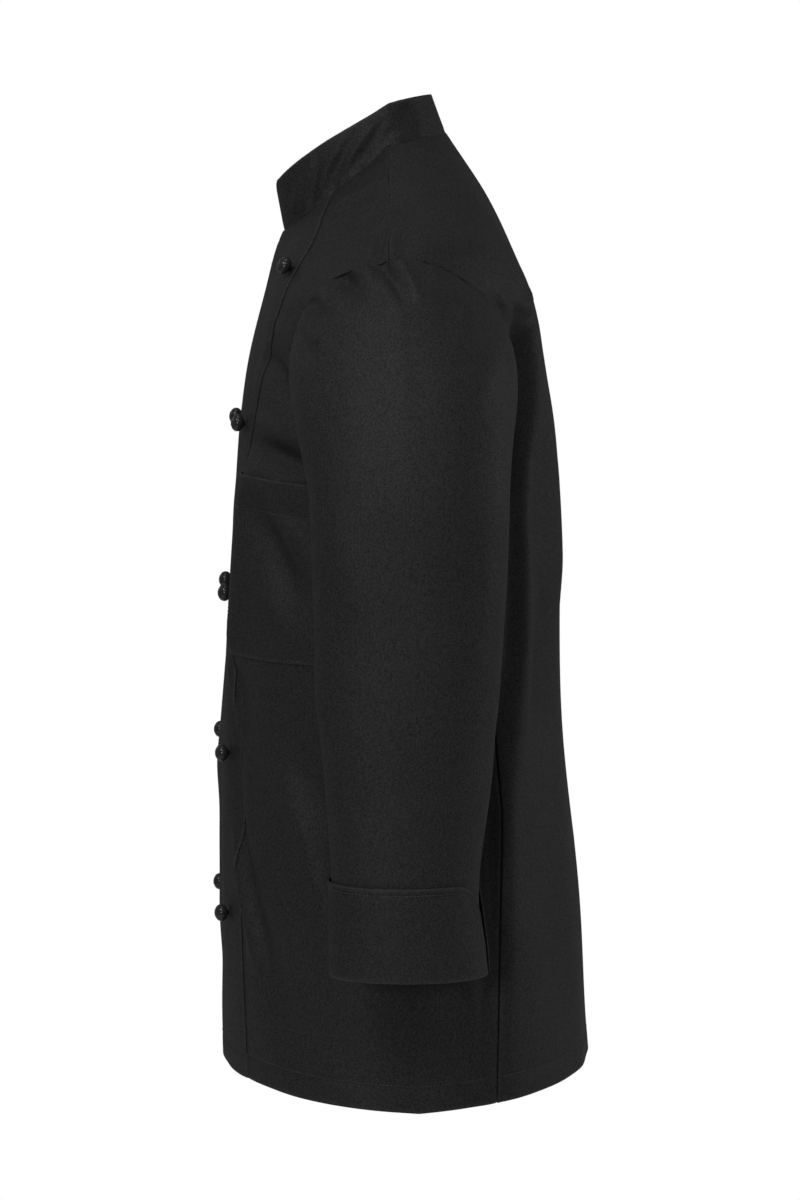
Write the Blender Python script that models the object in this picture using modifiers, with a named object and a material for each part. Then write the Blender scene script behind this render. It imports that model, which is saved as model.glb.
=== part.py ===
"""Chef jacket in its worn, hollow form: cut cloth panels, sleeves, turned-back cuffs,
a stand collar, a patch pocket and ten ball buttons that pass through the lapped fronts.

Metres, +Z up. The front faces -Y and the wearer's left arm is at +X. The origin lies midway
between the two high points of the shoulders, where the neck seam meets the shoulder seams.
"""
import math

import bmesh
import bpy
from mathutils import Vector

# --- driving sizes -------------------------------------------------------------------------
CLOTH = 0.0015            # thickness of a cloth wall
COLLAR_CLOTH = 0.0020     # the collar is two layers with a stiffener
SEAM_INSET = 0.0010       # each edge stops this far short of its seam line
COLLAR_INSET = 0.0014     # the collar's lower edge stands this far off the neck seam
LAYER_GAP = 0.0008        # air between the two lapped fronts
LAP_LIFT = CLOTH + LAYER_GAP
LAP_EASE = 0.35           # share of the right front over which it comes down off the lap

# --- the body: one row for each ring, neck seam to hem -------------------------------------
BODY_COLUMNS = ("front_y", "front_z", "side_x", "side_y", "side_z", "back_y", "back_z", "square")
BODY_RINGS = (
    (-0.0850, -0.071, 0.072, 0.000, 0.000, 0.0525, 0.014, 2.00),     # neck seam
    (-0.0935, -0.098, 0.150, -0.003, -0.045, 0.0843, -0.033, 2.05),  # half way along the shoulder
    (-0.1030, -0.135, 0.235, -0.007, -0.095, 0.1080, -0.086, 2.15),  # shoulder points
    (-0.1120, -0.176, 0.230, -0.001, -0.148, 0.1268, -0.133, 2.25),  # across the shoulder blades
    (-0.1185, -0.214, 0.221, 0.004, -0.202, 0.1375, -0.192, 2.35),   # chest
    (-0.1235, -0.255, 0.214, 0.008, -0.255, 0.1455, -0.255, 2.50),   # armpits
    (-0.1300, -0.370, 0.211, 0.010, -0.370, 0.1500, -0.370, 2.60),   # lower ribs
    (-0.1382, -0.500, 0.212, 0.013, -0.500, 0.1535, -0.500, 2.50),   # waist
    (-0.1402, -0.640, 0.217, 0.016, -0.642, 0.1665, -0.640, 2.40),   # hips
    (-0.1370, -0.778, 0.222, 0.018, -0.789, 0.1755, -0.774, 2.30),   # hem
)
SHOULDER_ROW = 2.0
ARMPIT_ROW = 5.0
HEM_ROW = 9.0

# --- edges of the panels, as an angle from the centre front and a ring ----------------------
EDGE_COLUMNS = ("angle", "row")
ARMHOLE_FRONT = ((90, 2.00), (77.5, 1.92), (65, 1.92), (54.5, 2.10), (48.5, 2.50),
                 (49.5, 3.15), (57, 4.05), (76, 4.78), (104, 5.00))
ARMHOLE_BACK = ((90, 2.00), (101, 2.04), (112, 2.24), (121, 2.56), (128.5, 3.00),
                (131.5, 3.62), (129.5, 4.30), (120, 4.85), (104, 5.00))
SIDE_SEAM = ((104, 5.00), (114, 6.00), (117, 7.00), (114, 8.00), (111, 9.00))
CENTRE_ROWS = (0.0, 0.5, 1.0, 1.4, 1.72, 1.98, 2.35, 2.9, 3.5, 4.05, 4.55, 5.0)
SHOULDER_STEPS = 3
ARMHOLE_STEPS = 8
SIDE_STEPS = 7
PANEL_STEPS = SHOULDER_STEPS + ARMHOLE_STEPS + SIDE_STEPS
LAP_CELLS = 8
OUTER_CELLS = 5
BACK_CELLS = 20

# --- the free edge of a lapped front: how far past the centre front it reaches at each ring ----
LAP_EDGE_X = (0.060, 0.110, 0.126, 0.114, 0.103, 0.091, 0.087, 0.103, 0.114, 0.118)

# --- the largest soft folds of the body: a line on the cloth, its reach and its lift --------
ARC_RADIUS = 0.190        # turns an angle into a distance around the body
BODY_FOLDS = (  # angle and height of both ends, reach, lift
    (27, -0.285, 23, -0.405, 0.028, 0.0120),     # the chest pocket stands off the chest
    (-40, -0.30, -38, -0.40, 0.045, 0.0040),     # the same fullness on the other side
    (155, -0.12, 160, -0.34, 0.040, 0.0040),     # ridge of the left shoulder blade
    (139, -0.18, 142, -0.46, 0.032, -0.0080),    # hollow behind the left armhole
    (-154, -0.13, -158, -0.32, 0.040, 0.0040),   # ridge of the right shoulder blade
    (-140, -0.19, -142, -0.44, 0.032, -0.0075),  # hollow behind the right armhole
)

# --- the sleeve: one row for each ring below the cap -----------------------------------------
SLEEVE_COLUMNS = ("height", "centre_x", "centre_y", "half_x", "half_y")
SLEEVE_RINGS = (
    (-0.300, 0.2755, 0.0065, 0.0560, 0.0795),
    (-0.400, 0.2750, 0.0065, 0.0545, 0.0755),
    (-0.460, 0.2745, 0.0060, 0.0530, 0.0715),
    (-0.525, 0.2740, 0.0050, 0.0510, 0.0650),
    (-0.590, 0.2735, 0.0030, 0.0485, 0.0595),
    (-0.660, 0.2730, 0.0050, 0.0465, 0.0605),
)
SLEEVE_SQUARE = 2.15
SLEEVE_COLUMNS_ROUND = 16
CAP_CELLS = 4
CAP_OUT = Vector((0.84, 0.0, -0.54))   # direction in which the cap leaves the armhole
CAP_BULGE = 0.55                       # how far the cap swells to the front and the rear
CAP_PULL = 0.95                        # strength of the curve at both ends of the cap
SLEEVE_START = 0.0011                  # the sleeve's edge stands this far off the armhole

# --- the turned-back cuff ---------------------------------------------------------------------
CUFF_COLUMNS = ("height", "stand_off", "rear_flare")
CUFF_RINGS = (
    (-0.588, 0.0024, 0.0000),
    (-0.613, 0.0026, 0.0015),
    (-0.640, 0.0028, 0.0030),
    (-0.664, 0.0028, 0.0040),
)
CUFF_SLIT = (11.85, 12.75)             # the open slit at the rear, in sleeve columns
CUFF_CORNER = 0.036                    # radius of its rounded upper corner
CUFF_CORNER_TURNS = (0.08, 0.5, 0.9)   # extra columns for that corner, from the slit's edges

# --- the stand collar --------------------------------------------------------------------------
COLLAR_FRONT_LEAN = Vector((0.0, -0.0080, 0.0420))
COLLAR_SIDE_LEAN = Vector((-0.0060, 0.0010, 0.0360))
COLLAR_BACK_LEAN = Vector((0.0, -0.0115, 0.0318))
COLLAR_SWELL = 0.0068                  # extra height between the front and the side
COLLAR_CORNER = 0.014                  # radius of the rounded front corner
COLLAR_END_ANGLE = 2.0                 # each end stops this far from the centre front
COLLAR_CORNER_ANGLES = (COLLAR_END_ANGLE, 3.5, 6.0, 9.5)
COLLAR_ROWS = 3
COLLAR_BACK_CELLS = 10

# --- the patch pocket on the wearer's left chest ------------------------------------------------
POCKET_FRONT_X = 0.096
POCKET_WIDTH = 0.130
POCKET_TOP = -0.272
POCKET_SLOPE = -0.007                  # its mouth falls a little towards the side
POCKET_BOTTOM = -0.423
POCKET_STAND_OFF = 0.0026              # outer face of the pocket over the front
POCKET_BULGE = 0.0030
POCKET_MOUTH_FULLNESS = 0.25           # share of the bulge's wave that is above the mouth
POCKET_CELLS = 6

# --- ball buttons --------------------------------------------------------------------------------
BUTTON_ROWS = ((-0.103, 0.110), (-0.232, 0.068), (-0.375, 0.066),   # height and distance from
               (-0.509, 0.082), (-0.645, 0.082))                    # the centre front
BALL_RADIUS = 0.0073
BALL_HALF_HEIGHT = 0.0058              # the ball is flattened along its shank
SHANK_RADIUS = 0.0016
BUTTONHOLE_RADIUS = 0.0023
PLATE_RADIUS = 0.0050
PLATE_THICKNESS = 0.0015
BALL_CLEAR = 0.0005                    # ball over the outer cloth
PLATE_CLEAR = 0.0014                   # plate behind the inner cloth
BALL_STEPS = 6
TURN_STEPS = 12
HOLE_SIDES = 8

BLACK_CLOTH = (0.018, 0.018, 0.019, 1.0)
BLACK_PLASTIC = (0.008, 0.008, 0.009, 1.0)


# --- curves ----------------------------------------------------------------------------------
def hermite(start, start_slope, end, end_slope, share):
    """Cubic from start to end with the given slopes, at a share from 0 to 1."""
    square = share * share
    cube = square * share
    return (start * (2 * cube - 3 * square + 1) + start_slope * (cube - 2 * square + share)
            + end * (3 * square - 2 * cube) + end_slope * (cube - square))


def smooth_read(values, position):
    """Read a list of numbers at a fractional index, on a smooth curve through all of them."""
    last = len(values) - 1
    position = min(max(position, 0.0), float(last))
    index = min(int(position), last - 1)
    here, after = values[index], values[index + 1]
    before = values[index - 1] if index > 0 else 2 * here - after
    beyond = values[index + 2] if index + 2 <= last else 2 * after - here
    return hermite(here, (after - before) / 2, after, (beyond - here) / 2, position - index)


def column(table, index):
    """One column of a table, as a list."""
    return [row[index] for row in table]


def table_read(table, names, position):
    """All columns of a table at a fractional row, by name."""
    return {name: smooth_read(column(table, index), position)
            for index, name in enumerate(names)}


def ease(share):
    """0 to 1 with a level start and end."""
    share = min(max(share, 0.0), 1.0)
    return share * share * (3 - 2 * share)


# --- the body surface --------------------------------------------------------------------------
def bare_body_point(angle, row):
    """Point on the body with no folds; angle in degrees from the centre front to the left."""
    ring = table_read(BODY_RINGS, BODY_COLUMNS, row)
    power = 2 / ring["square"]
    turn = math.radians(angle)
    across = math.copysign(abs(math.sin(turn)) ** power, math.sin(turn))
    along = abs(math.cos(turn)) ** power
    end = "front" if math.cos(turn) >= 0 else "back"
    return Vector((ring["side_x"] * across,
                   ring["side_y"] + (ring[end + "_y"] - ring["side_y"]) * along,
                   ring["side_z"] + (ring[end + "_z"] - ring["side_z"]) * along))


def body_normal(angle, row):
    """Outward direction of the body's cloth."""
    step = 0.02
    low, high = max(row - step, 0.0), min(row + step, HEM_ROW)
    around = bare_body_point(angle + 0.5, row) - bare_body_point(angle - 0.5, row)
    down = bare_body_point(angle, high) - bare_body_point(angle, low)
    return down.cross(around).normalized()


def fold_lift(angle, height):
    """Sum of the soft folds at one place on the body."""
    total = 0.0
    for angle_1, height_1, angle_2, height_2, reach, lift in BODY_FOLDS:
        start = Vector((math.radians(angle_1) * ARC_RADIUS, height_1))
        line = Vector((math.radians(angle_2) * ARC_RADIUS, height_2)) - start
        place = Vector((math.radians(angle) * ARC_RADIUS, height)) - start
        share = min(max(place.dot(line) / line.length_squared, 0.0), 1.0)
        total += lift * math.exp(-((place - line * share).length / reach) ** 2)
    return total


def body_point(angle, row, lift=0.0):
    """Point on the outer face of the body's cloth, moved out by lift."""
    point = bare_body_point(angle, row)
    signed = angle if angle <= 180 else angle - 360
    return point + body_normal(angle, row) * (lift + fold_lift(signed, point.z))


def row_at_height(height):
    """Ring row of a level below the armpits."""
    low, high = ARMPIT_ROW, HEM_ROW
    for _ in range(30):
        middle = (low + high) / 2
        if bare_body_point(90, middle).z > height:
            low = middle
        else:
            high = middle
    return low


def angle_at_x(x, row):
    """Angle at which the front of a ring is x from the centre front."""
    ring = table_read(BODY_RINGS, BODY_COLUMNS, row)
    return math.degrees(math.asin((x / ring["side_x"]) ** (ring["square"] / 2)))


# --- panel edges ---------------------------------------------------------------------------------
def outer_edge(step, armhole):
    """Angle and row of a panel's outer edge: shoulder seam, armhole, then side seam."""
    if step <= SHOULDER_STEPS:
        return 90.0, SHOULDER_ROW * step / SHOULDER_STEPS
    if step <= SHOULDER_STEPS + ARMHOLE_STEPS:
        place = table_read(armhole, EDGE_COLUMNS, step - SHOULDER_STEPS)
        return place["angle"], place["row"]
    share = (step - SHOULDER_STEPS - ARMHOLE_STEPS) / SIDE_STEPS
    place = table_read(SIDE_SEAM, EDGE_COLUMNS, share * (len(SIDE_SEAM) - 1))
    return place["angle"], place["row"]


def centre_row(step):
    """Row of the same cloth line at the centre front or centre back."""
    above = SHOULDER_STEPS + ARMHOLE_STEPS
    if step <= above:
        return smooth_read(CENTRE_ROWS, step)
    return ARMPIT_ROW + (HEM_ROW - ARMPIT_ROW) * (step - above) / SIDE_STEPS


def front_place(step, across):
    """Angle and row on a left front.

    across runs from -1 at the free edge to 1 where the other front's edge lies, then to 2 at
    the outer edge.
    """
    inner_row = centre_row(step)
    edge = angle_at_x(smooth_read(LAP_EDGE_X, inner_row), inner_row)
    if across <= 1:
        return edge * across, inner_row
    share = across - 1
    outer_angle, outer_row = outer_edge(step, ARMHOLE_FRONT)
    return edge + (outer_angle - edge) * share, inner_row + (outer_row - inner_row) * share ** 2


def back_place(step, across):
    """Angle and row on the back; across runs from -1 at the left side seam to 1."""
    outer_angle, outer_row = outer_edge(step, ARMHOLE_BACK)
    middle = centre_row(step)
    return 180 + (180 - outer_angle) * across, middle + (outer_row - middle) * across ** 2


# --- making cloth ------------------------------------------------------------------------------------
def make_material(name, colour, roughness):
    """One plain Principled material."""
    material = bpy.data.materials.new(name)
    material.use_nodes = True
    shader = material.node_tree.nodes["Principled BSDF"]
    shader.inputs["Base Color"].default_value = colour
    shader.inputs["Roughness"].default_value = roughness
    return material


def grid_mesh(name, rows, closed=False):
    """Open sheet through rows of points; a closed one joins each row's ends into a tube.

    It is made of triangles that all lean the same way, so that sheets which lie on each other
    keep an even gap.
    """
    sheet = bmesh.new()
    made = [[sheet.verts.new(point) for point in row] for row in rows]
    width = len(rows[0])
    for upper, lower in zip(made, made[1:]):
        for index in range(width if closed else width - 1):
            after = (index + 1) % width
            sheet.faces.new((upper[index], lower[index], lower[after]))
            sheet.faces.new((upper[index], lower[after], upper[after]))
    mesh = bpy.data.meshes.new(name)
    sheet.to_mesh(mesh)
    sheet.free()
    return mesh


def cloth_object(name, mesh, thickness, parts):
    """Object whose wall is thickened inwards from its outer face."""
    piece = bpy.data.objects.new(name, mesh)
    parts.objects.link(piece)
    wall = piece.modifiers.new("Wall", "SOLIDIFY")
    wall.thickness = thickness
    wall.offset = -1.0
    mesh.materials.append(make_material(name + "_cloth", BLACK_CLOTH, 0.85))
    mesh.shade_smooth()
    return piece


def draw_in(rows, sides):
    """Pull the named edges of a grid in from their seam lines."""
    moved = [list(row) for row in rows]
    if "first" in sides:
        for row, source in zip(moved, rows):
            row[0] = source[0] + (source[1] - source[0]).normalized() * SEAM_INSET
    if "last" in sides:
        for row, source in zip(moved, rows):
            row[-1] = source[-1] + (source[-2] - source[-1]).normalized() * SEAM_INSET
    return moved


def mirrored(rows):
    """The same grid on the wearer's other side, with its faces still pointing out."""
    return [[Vector((-point.x, point.y, point.z)) for point in reversed(row)] for row in rows]


def make_front(name, side, parts):
    """One front: side 1 is the left front underneath, side -1 the right front over it."""
    inner = [-1 + 2 * index / LAP_CELLS for index in range(LAP_CELLS + 1)]
    outer = [1 + (index + 1) / OUTER_CELLS for index in range(OUTER_CELLS)]
    rows = []
    for step in range(PANEL_STEPS + 1):
        row = []
        for across in inner + outer:
            angle, ring = front_place(step, across)
            lift = LAP_LIFT * (1 - ease((across - 1) / LAP_EASE)) if side < 0 else 0.0
            row.append(body_point(side * angle, ring, lift))
        rows.append(row if side > 0 else row[::-1])
    rows = draw_in(rows, ("last",) if side > 0 else ("first",))
    return cloth_object(name, grid_mesh(name, rows), CLOTH, parts)


def make_back(parts):
    """The back, in one piece from side seam to side seam."""
    rows = []
    for step in range(PANEL_STEPS + 1):
        places = [back_place(step, -1 + 2 * index / BACK_CELLS) for index in range(BACK_CELLS + 1)]
        rows.append([body_point(angle, ring) for angle, ring in places])
    rows = draw_in(rows, ("first", "last"))
    return cloth_object("back", grid_mesh("back", rows), CLOTH, parts)


# --- sleeves and cuffs ----------------------------------------------------------------------------
def armhole_point(turn):
    """Point of the armhole; turn runs 0 to 16 from the shoulder, by the front, back up to it."""
    if turn <= ARMHOLE_STEPS:
        place = table_read(ARMHOLE_FRONT, EDGE_COLUMNS, turn)
    else:
        place = table_read(ARMHOLE_BACK, EDGE_COLUMNS, 2 * ARMHOLE_STEPS - turn)
    return body_point(place["angle"], place["row"])


def sleeve_ring_point(turn, ring, stand_off=0.0, rear_flare=0.0):
    """Point on one ring below the cap; turn 0 faces outwards, 4 forwards, 8 inwards."""
    angle = math.radians(turn * 360 / SLEEVE_COLUMNS_ROUND)
    power = 2 / SLEEVE_SQUARE
    across = math.copysign(abs(math.cos(angle)) ** power, math.cos(angle))
    along = math.copysign(abs(math.sin(angle)) ** power, math.sin(angle))
    rear = rear_flare * max(-along, 0.0) ** 2
    return Vector((ring["centre_x"] + (ring["half_x"] + stand_off) * across,
                   ring["centre_y"] - (ring["half_y"] + stand_off) * along + rear,
                   ring["height"]))


def sleeve_ring_at(height):
    """Sleeve sizes at any level below the cap."""
    heights = column(SLEEVE_RINGS, 0)
    for index in range(len(heights) - 1):
        if height >= heights[index + 1]:
            break
    share = (height - heights[index]) / (heights[index + 1] - heights[index])
    ring = table_read(SLEEVE_RINGS, SLEEVE_COLUMNS, index + share)
    ring["height"] = height
    return ring


def cap_point(turn, share):
    """Point on the sleeve cap, between the armhole and the first ring."""
    start = armhole_point(turn)
    end = sleeve_ring_point(turn, sleeve_ring_at(SLEEVE_RINGS[0][0]))
    reach = (end - start).length * CAP_PULL
    swell = -CAP_BULGE * math.sin(math.radians(turn * 360 / SLEEVE_COLUMNS_ROUND))
    leave = (CAP_OUT + Vector((0.0, swell, 0.0))).normalized()
    start = start + leave * SLEEVE_START
    return hermite(start, leave * reach, end, Vector((0.0, 0.0, -reach)), share)


def make_sleeve(name, side, parts):
    """A one-piece sleeve, cap to wrist."""
    turns = range(SLEEVE_COLUMNS_ROUND)
    rows = [[cap_point(turn, index / CAP_CELLS) for turn in turns] for index in range(CAP_CELLS)]
    levels = [row[0] for row in SLEEVE_RINGS]
    extra = (levels[0] + levels[1]) / 2
    for level in [levels[0], extra] + levels[1:]:
        ring = sleeve_ring_at(level)
        rows.append([sleeve_ring_point(turn, ring) for turn in turns])
    rows = [row[::-1] for row in rows]
    if side < 0:
        rows = mirrored(rows)
    return cloth_object(name, grid_mesh(name, rows, closed=True), CLOTH, parts)


def cuff_point(turn, height, end_distance):
    """Point on the outer face of a cuff, with its upper corners rounded off at the slit."""
    top = CUFF_RINGS[0][0]
    bottom = CUFF_RINGS[-1][0]
    if end_distance < CUFF_CORNER:
        short = CUFF_CORNER - end_distance
        drop = CUFF_CORNER - math.sqrt(max(CUFF_CORNER ** 2 - short ** 2, 0.0))
        height -= drop * (height - bottom) / (top - bottom)
    heights = column(CUFF_RINGS, 0)
    position = (top - height) / (top - bottom) * (len(heights) - 1)
    sizes = table_read(CUFF_RINGS, CUFF_COLUMNS, position)
    ring = sleeve_ring_at(max(height, SLEEVE_RINGS[-1][0]))
    ring["height"] = height
    return sleeve_ring_point(turn, ring, sizes["stand_off"], sizes["rear_flare"])


def make_cuff(name, side, parts):
    """A turned-back cuff, open in a slit at the rear."""
    first = CUFF_SLIT[1]
    last = CUFF_SLIT[0] + SLEEVE_COLUMNS_ROUND
    turns = sorted([first, last] + list(range(math.ceil(first), math.floor(last) + 1))
                   + [first + step for step in CUFF_CORNER_TURNS]
                   + [last - step for step in CUFF_CORNER_TURNS])
    around = 2 * math.pi * (SLEEVE_RINGS[-1][3] + SLEEVE_RINGS[-1][4]) / 2
    rows = []
    for height in column(CUFF_RINGS, 0):
        row = []
        for turn in turns:
            end_distance = min(turn - first, last - turn) / SLEEVE_COLUMNS_ROUND * around
            row.append(cuff_point(turn, height, end_distance))
        rows.append(row[::-1])
    if side < 0:
        rows = mirrored(rows)
    return cloth_object(name, grid_mesh(name, rows), CLOTH, parts)


# --- collar, pocket, buttons ----------------------------------------------------------------------
def collar_point(angle, share):
    """Point on the collar's outer face; share runs from 0 at the neck seam to 1 at the top."""
    base = bare_body_point(angle, 0.0)
    turn = math.radians(angle)
    centre_lean = COLLAR_FRONT_LEAN if math.cos(turn) >= 0 else COLLAR_BACK_LEAN
    side_lean = Vector((math.copysign(COLLAR_SIDE_LEAN.x, -math.sin(turn)),
                        COLLAR_SIDE_LEAN.y, COLLAR_SIDE_LEAN.z))
    blend = math.cos(turn) ** 2 * (2 - math.cos(turn) ** 2)
    lean = centre_lean * blend + side_lean * (1 - blend)
    lean.z += max(COLLAR_SWELL * math.sin(2 * turn) * math.sin(turn), 0.0)
    end_distance = math.radians(min(angle, 360 - angle) - COLLAR_END_ANGLE) * BODY_RINGS[0][2]
    if end_distance < COLLAR_CORNER:
        short = COLLAR_CORNER - end_distance
        drop = COLLAR_CORNER - math.sqrt(max(COLLAR_CORNER ** 2 - short ** 2, 0.0))
        lean = lean * (1 - drop / lean.length)
    return base + lean.normalized() * COLLAR_INSET + (lean - lean.normalized() * COLLAR_INSET) * share


def make_collar(parts):
    """The stand collar, its two ends meeting at the centre front."""
    edge = front_place(0, 1)[0]
    front = [edge * 2 * index / LAP_CELLS for index in range(1, LAP_CELLS // 2 + 1)]
    half = list(COLLAR_CORNER_ANGLES) + front + [(edge + 90) / 2, 90.0]
    back = [90 + 180 * index / COLLAR_BACK_CELLS for index in range(1, COLLAR_BACK_CELLS)]
    angles = half + back + [360 - angle for angle in reversed(half)]
    rows = [[collar_point(angle, 1 - index / COLLAR_ROWS) for angle in angles]
            for index in range(COLLAR_ROWS + 1)]
    return cloth_object("collar", grid_mesh("collar", rows), COLLAR_CLOTH, parts)


def walk_around(angle, row, distance):
    """Angle reached after walking a distance around one ring, away from the centre front."""
    here = bare_body_point(angle, row)
    step = 0.5
    while distance > 0:
        angle += step
        there = bare_body_point(angle, row)
        distance -= (there - here).length
        here = there
    return angle


def make_pocket(parts):
    """The patch pocket, made from the left front's points moved out."""
    rows = []
    for down in range(POCKET_CELLS + 1):
        row = []
        for across in range(POCKET_CELLS + 1):
            down_share, across_share = down / POCKET_CELLS, across / POCKET_CELLS
            top = POCKET_TOP + POCKET_SLOPE * across_share
            ring = row_at_height(top + (POCKET_BOTTOM - top) * down_share)
            angle = walk_around(angle_at_x(POCKET_FRONT_X, ring), ring, POCKET_WIDTH * across_share)
            fullness = POCKET_MOUTH_FULLNESS + (1 - POCKET_MOUTH_FULLNESS) * down_share
            swell = math.sin(math.pi * across_share) * math.sin(math.pi * fullness)
            row.append(body_point(angle, ring, POCKET_STAND_OFF + POCKET_BULGE * swell))
        rows.append(row)
    return cloth_object("chest_pocket", grid_mesh("chest_pocket", rows), CLOTH, parts)


def button_mesh():
    """Ball, shank and inner plate in one turned piece, its axis along Z through the outer cloth."""
    inner = -(LAP_LIFT + CLOTH + PLATE_CLEAR)
    centre = BALL_CLEAR + BALL_HALF_HEIGHT
    start = math.asin(SHANK_RADIUS / BALL_RADIUS)
    profile = [(0.0, centre + BALL_HALF_HEIGHT)]
    for index in range(1, BALL_STEPS + 1):
        turn = (math.pi - start) * index / BALL_STEPS
        profile.append((BALL_RADIUS * math.sin(turn), centre + BALL_HALF_HEIGHT * math.cos(turn)))
    profile += [(SHANK_RADIUS, inner), (PLATE_RADIUS, inner),
                (PLATE_RADIUS, inner - PLATE_THICKNESS), (0.0, inner - PLATE_THICKNESS)]
    outline = bmesh.new()
    made = [outline.verts.new((x, 0.0, z)) for x, z in profile]
    for before, after in zip(made, made[1:]):
        outline.edges.new((before, after))
    mesh = bpy.data.meshes.new("ball_button")
    outline.to_mesh(mesh)
    outline.free()
    mesh.materials.append(make_material("button_plastic", BLACK_PLASTIC, 0.12))
    return mesh


def button_places():
    """Place and outward direction of each button, on the outer face of the under front."""
    places = {}
    for side, word in ((1, "left"), (-1, "right")):
        for index, (height, x) in enumerate(BUTTON_ROWS):
            row = button_row(height, x)
            angle = side * angle_at_x(x, row)
            places[f"button_{word}_{index + 1}"] = (body_point(angle, row, LAP_LIFT),
                                                    body_normal(angle, row))
    return places


def button_row(height, x):
    """Row at which the front is at this height, x from the centre front."""
    low, high = 0.3, HEM_ROW
    for _ in range(30):
        middle = (low + high) / 2
        if bare_body_point(angle_at_x(x, middle), middle).z > height:
            low = middle
        else:
            high = middle
    return low


def make_buttons(parts):
    """Ten buttons that share one turned mesh."""
    mesh = button_mesh()
    for name, (place, outward) in button_places().items():
        button = bpy.data.objects.new(name, mesh)
        parts.objects.link(button)
        turned = button.modifiers.new("Turned", "SCREW")
        turned.axis = "Z"
        turned.steps = TURN_STEPS
        turned.render_steps = TURN_STEPS
        turned.use_merge_vertices = True
        turned.merge_threshold = 0.0001
        button.location = place
        button.rotation_euler = outward.to_track_quat("Z", "Y").to_euler()


def cut_buttonholes(fronts, cutters):
    """Round buttonholes through both lapped fronts, by one joined cutter."""
    holes = bmesh.new()
    depth = 4 * (LAP_LIFT + CLOTH)
    for place, outward in button_places().values():
        turn = outward.to_track_quat("Z", "Y").to_matrix().to_4x4()
        turn.translation = place - outward * LAP_LIFT / 2
        bmesh.ops.create_cone(holes, cap_ends=True, segments=HOLE_SIDES, radius1=BUTTONHOLE_RADIUS,
                              radius2=BUTTONHOLE_RADIUS, depth=depth, matrix=turn)
    mesh = bpy.data.meshes.new("buttonholes")
    holes.to_mesh(mesh)
    holes.free()
    cutter = bpy.data.objects.new("buttonholes", mesh)
    cutter.hide_render = True
    cutter.display_type = "WIRE"
    cutters.objects.link(cutter)
    for front in fronts:
        cut = front.modifiers.new("Buttonholes", "BOOLEAN")
        cut.operation = "DIFFERENCE"
        cut.object = cutter


def main():
    """Clear the scene and make every piece of the jacket."""
    for old in list(bpy.data.objects):
        bpy.data.objects.remove(old)
    parts = bpy.data.collections.new("chef_jacket")
    cutters = bpy.data.collections.new("cutters")
    bpy.context.scene.collection.children.link(parts)
    bpy.context.scene.collection.children.link(cutters)
    fronts = [make_front("front_left", 1, parts), make_front("front_right", -1, parts)]
    make_back(parts)
    for word, side in (("left", 1), ("right", -1)):
        make_sleeve("sleeve_" + word, side, parts)
        make_cuff("cuff_" + word, side, parts)
    make_collar(parts)
    make_pocket(parts)
    make_buttons(parts)
    cut_buttonholes(fronts, cutters)


main()
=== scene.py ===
"""Looks of the chef jacket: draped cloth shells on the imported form, sewing, buttons and studio.

Metres, +Z up. The front faces -Y and the wearer's left arm is at +X. Angles run from the
centre front (0) by the wearer's left side (90) to the centre back (180). Rows count the rings
of the body from the neck seam (0) by the shoulder points (2) and armpits (5) to the hem (9).
"""
import logging
import math
from dataclasses import dataclass
from enum import Enum
from typing import Callable, Sequence

import bpy
import numpy as np
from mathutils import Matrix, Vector


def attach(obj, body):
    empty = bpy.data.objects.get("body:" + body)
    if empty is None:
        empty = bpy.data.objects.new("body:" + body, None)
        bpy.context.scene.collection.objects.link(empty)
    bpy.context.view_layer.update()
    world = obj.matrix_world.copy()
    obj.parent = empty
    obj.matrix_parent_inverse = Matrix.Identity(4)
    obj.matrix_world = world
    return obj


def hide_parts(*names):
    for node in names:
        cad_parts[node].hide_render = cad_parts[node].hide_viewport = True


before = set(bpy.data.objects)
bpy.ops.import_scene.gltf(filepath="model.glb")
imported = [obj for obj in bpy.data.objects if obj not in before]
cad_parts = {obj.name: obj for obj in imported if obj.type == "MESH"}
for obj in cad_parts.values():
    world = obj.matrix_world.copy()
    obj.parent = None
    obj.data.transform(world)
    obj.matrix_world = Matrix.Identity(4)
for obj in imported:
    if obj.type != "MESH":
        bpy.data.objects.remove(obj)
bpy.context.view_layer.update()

LOG = logging.getLogger("chef_jacket")
Array = np.ndarray
Surface = Callable[[Array, Array], Array]

# --- sizes of the solids, repeated ------------------------------------------------------------
LAP_LIFT = 0.0023
LAP_EASE = 0.35
ARC_RADIUS = 0.190
BODY_RINGS = (  # front_y, front_z, side_x, side_y, side_z, back_y, back_z, square
    (-0.0850, -0.071, 0.072, 0.000, 0.000, 0.0525, 0.014, 2.00),
    (-0.0935, -0.098, 0.150, -0.003, -0.045, 0.0843, -0.033, 2.05),
    (-0.1030, -0.135, 0.235, -0.007, -0.095, 0.1080, -0.086, 2.15),
    (-0.1120, -0.176, 0.230, -0.001, -0.148, 0.1268, -0.133, 2.25),
    (-0.1185, -0.214, 0.221, 0.004, -0.202, 0.1375, -0.192, 2.35),
    (-0.1235, -0.255, 0.214, 0.008, -0.255, 0.1455, -0.255, 2.50),
    (-0.1300, -0.370, 0.211, 0.010, -0.370, 0.1500, -0.370, 2.60),
    (-0.1382, -0.500, 0.212, 0.013, -0.500, 0.1535, -0.500, 2.50),
    (-0.1402, -0.640, 0.217, 0.016, -0.642, 0.1665, -0.640, 2.40),
    (-0.1370, -0.778, 0.222, 0.018, -0.789, 0.1755, -0.774, 2.30),
)
SHOULDER_ROW, ARMPIT_ROW, HEM_ROW = 2.0, 5.0, 9.0
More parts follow.
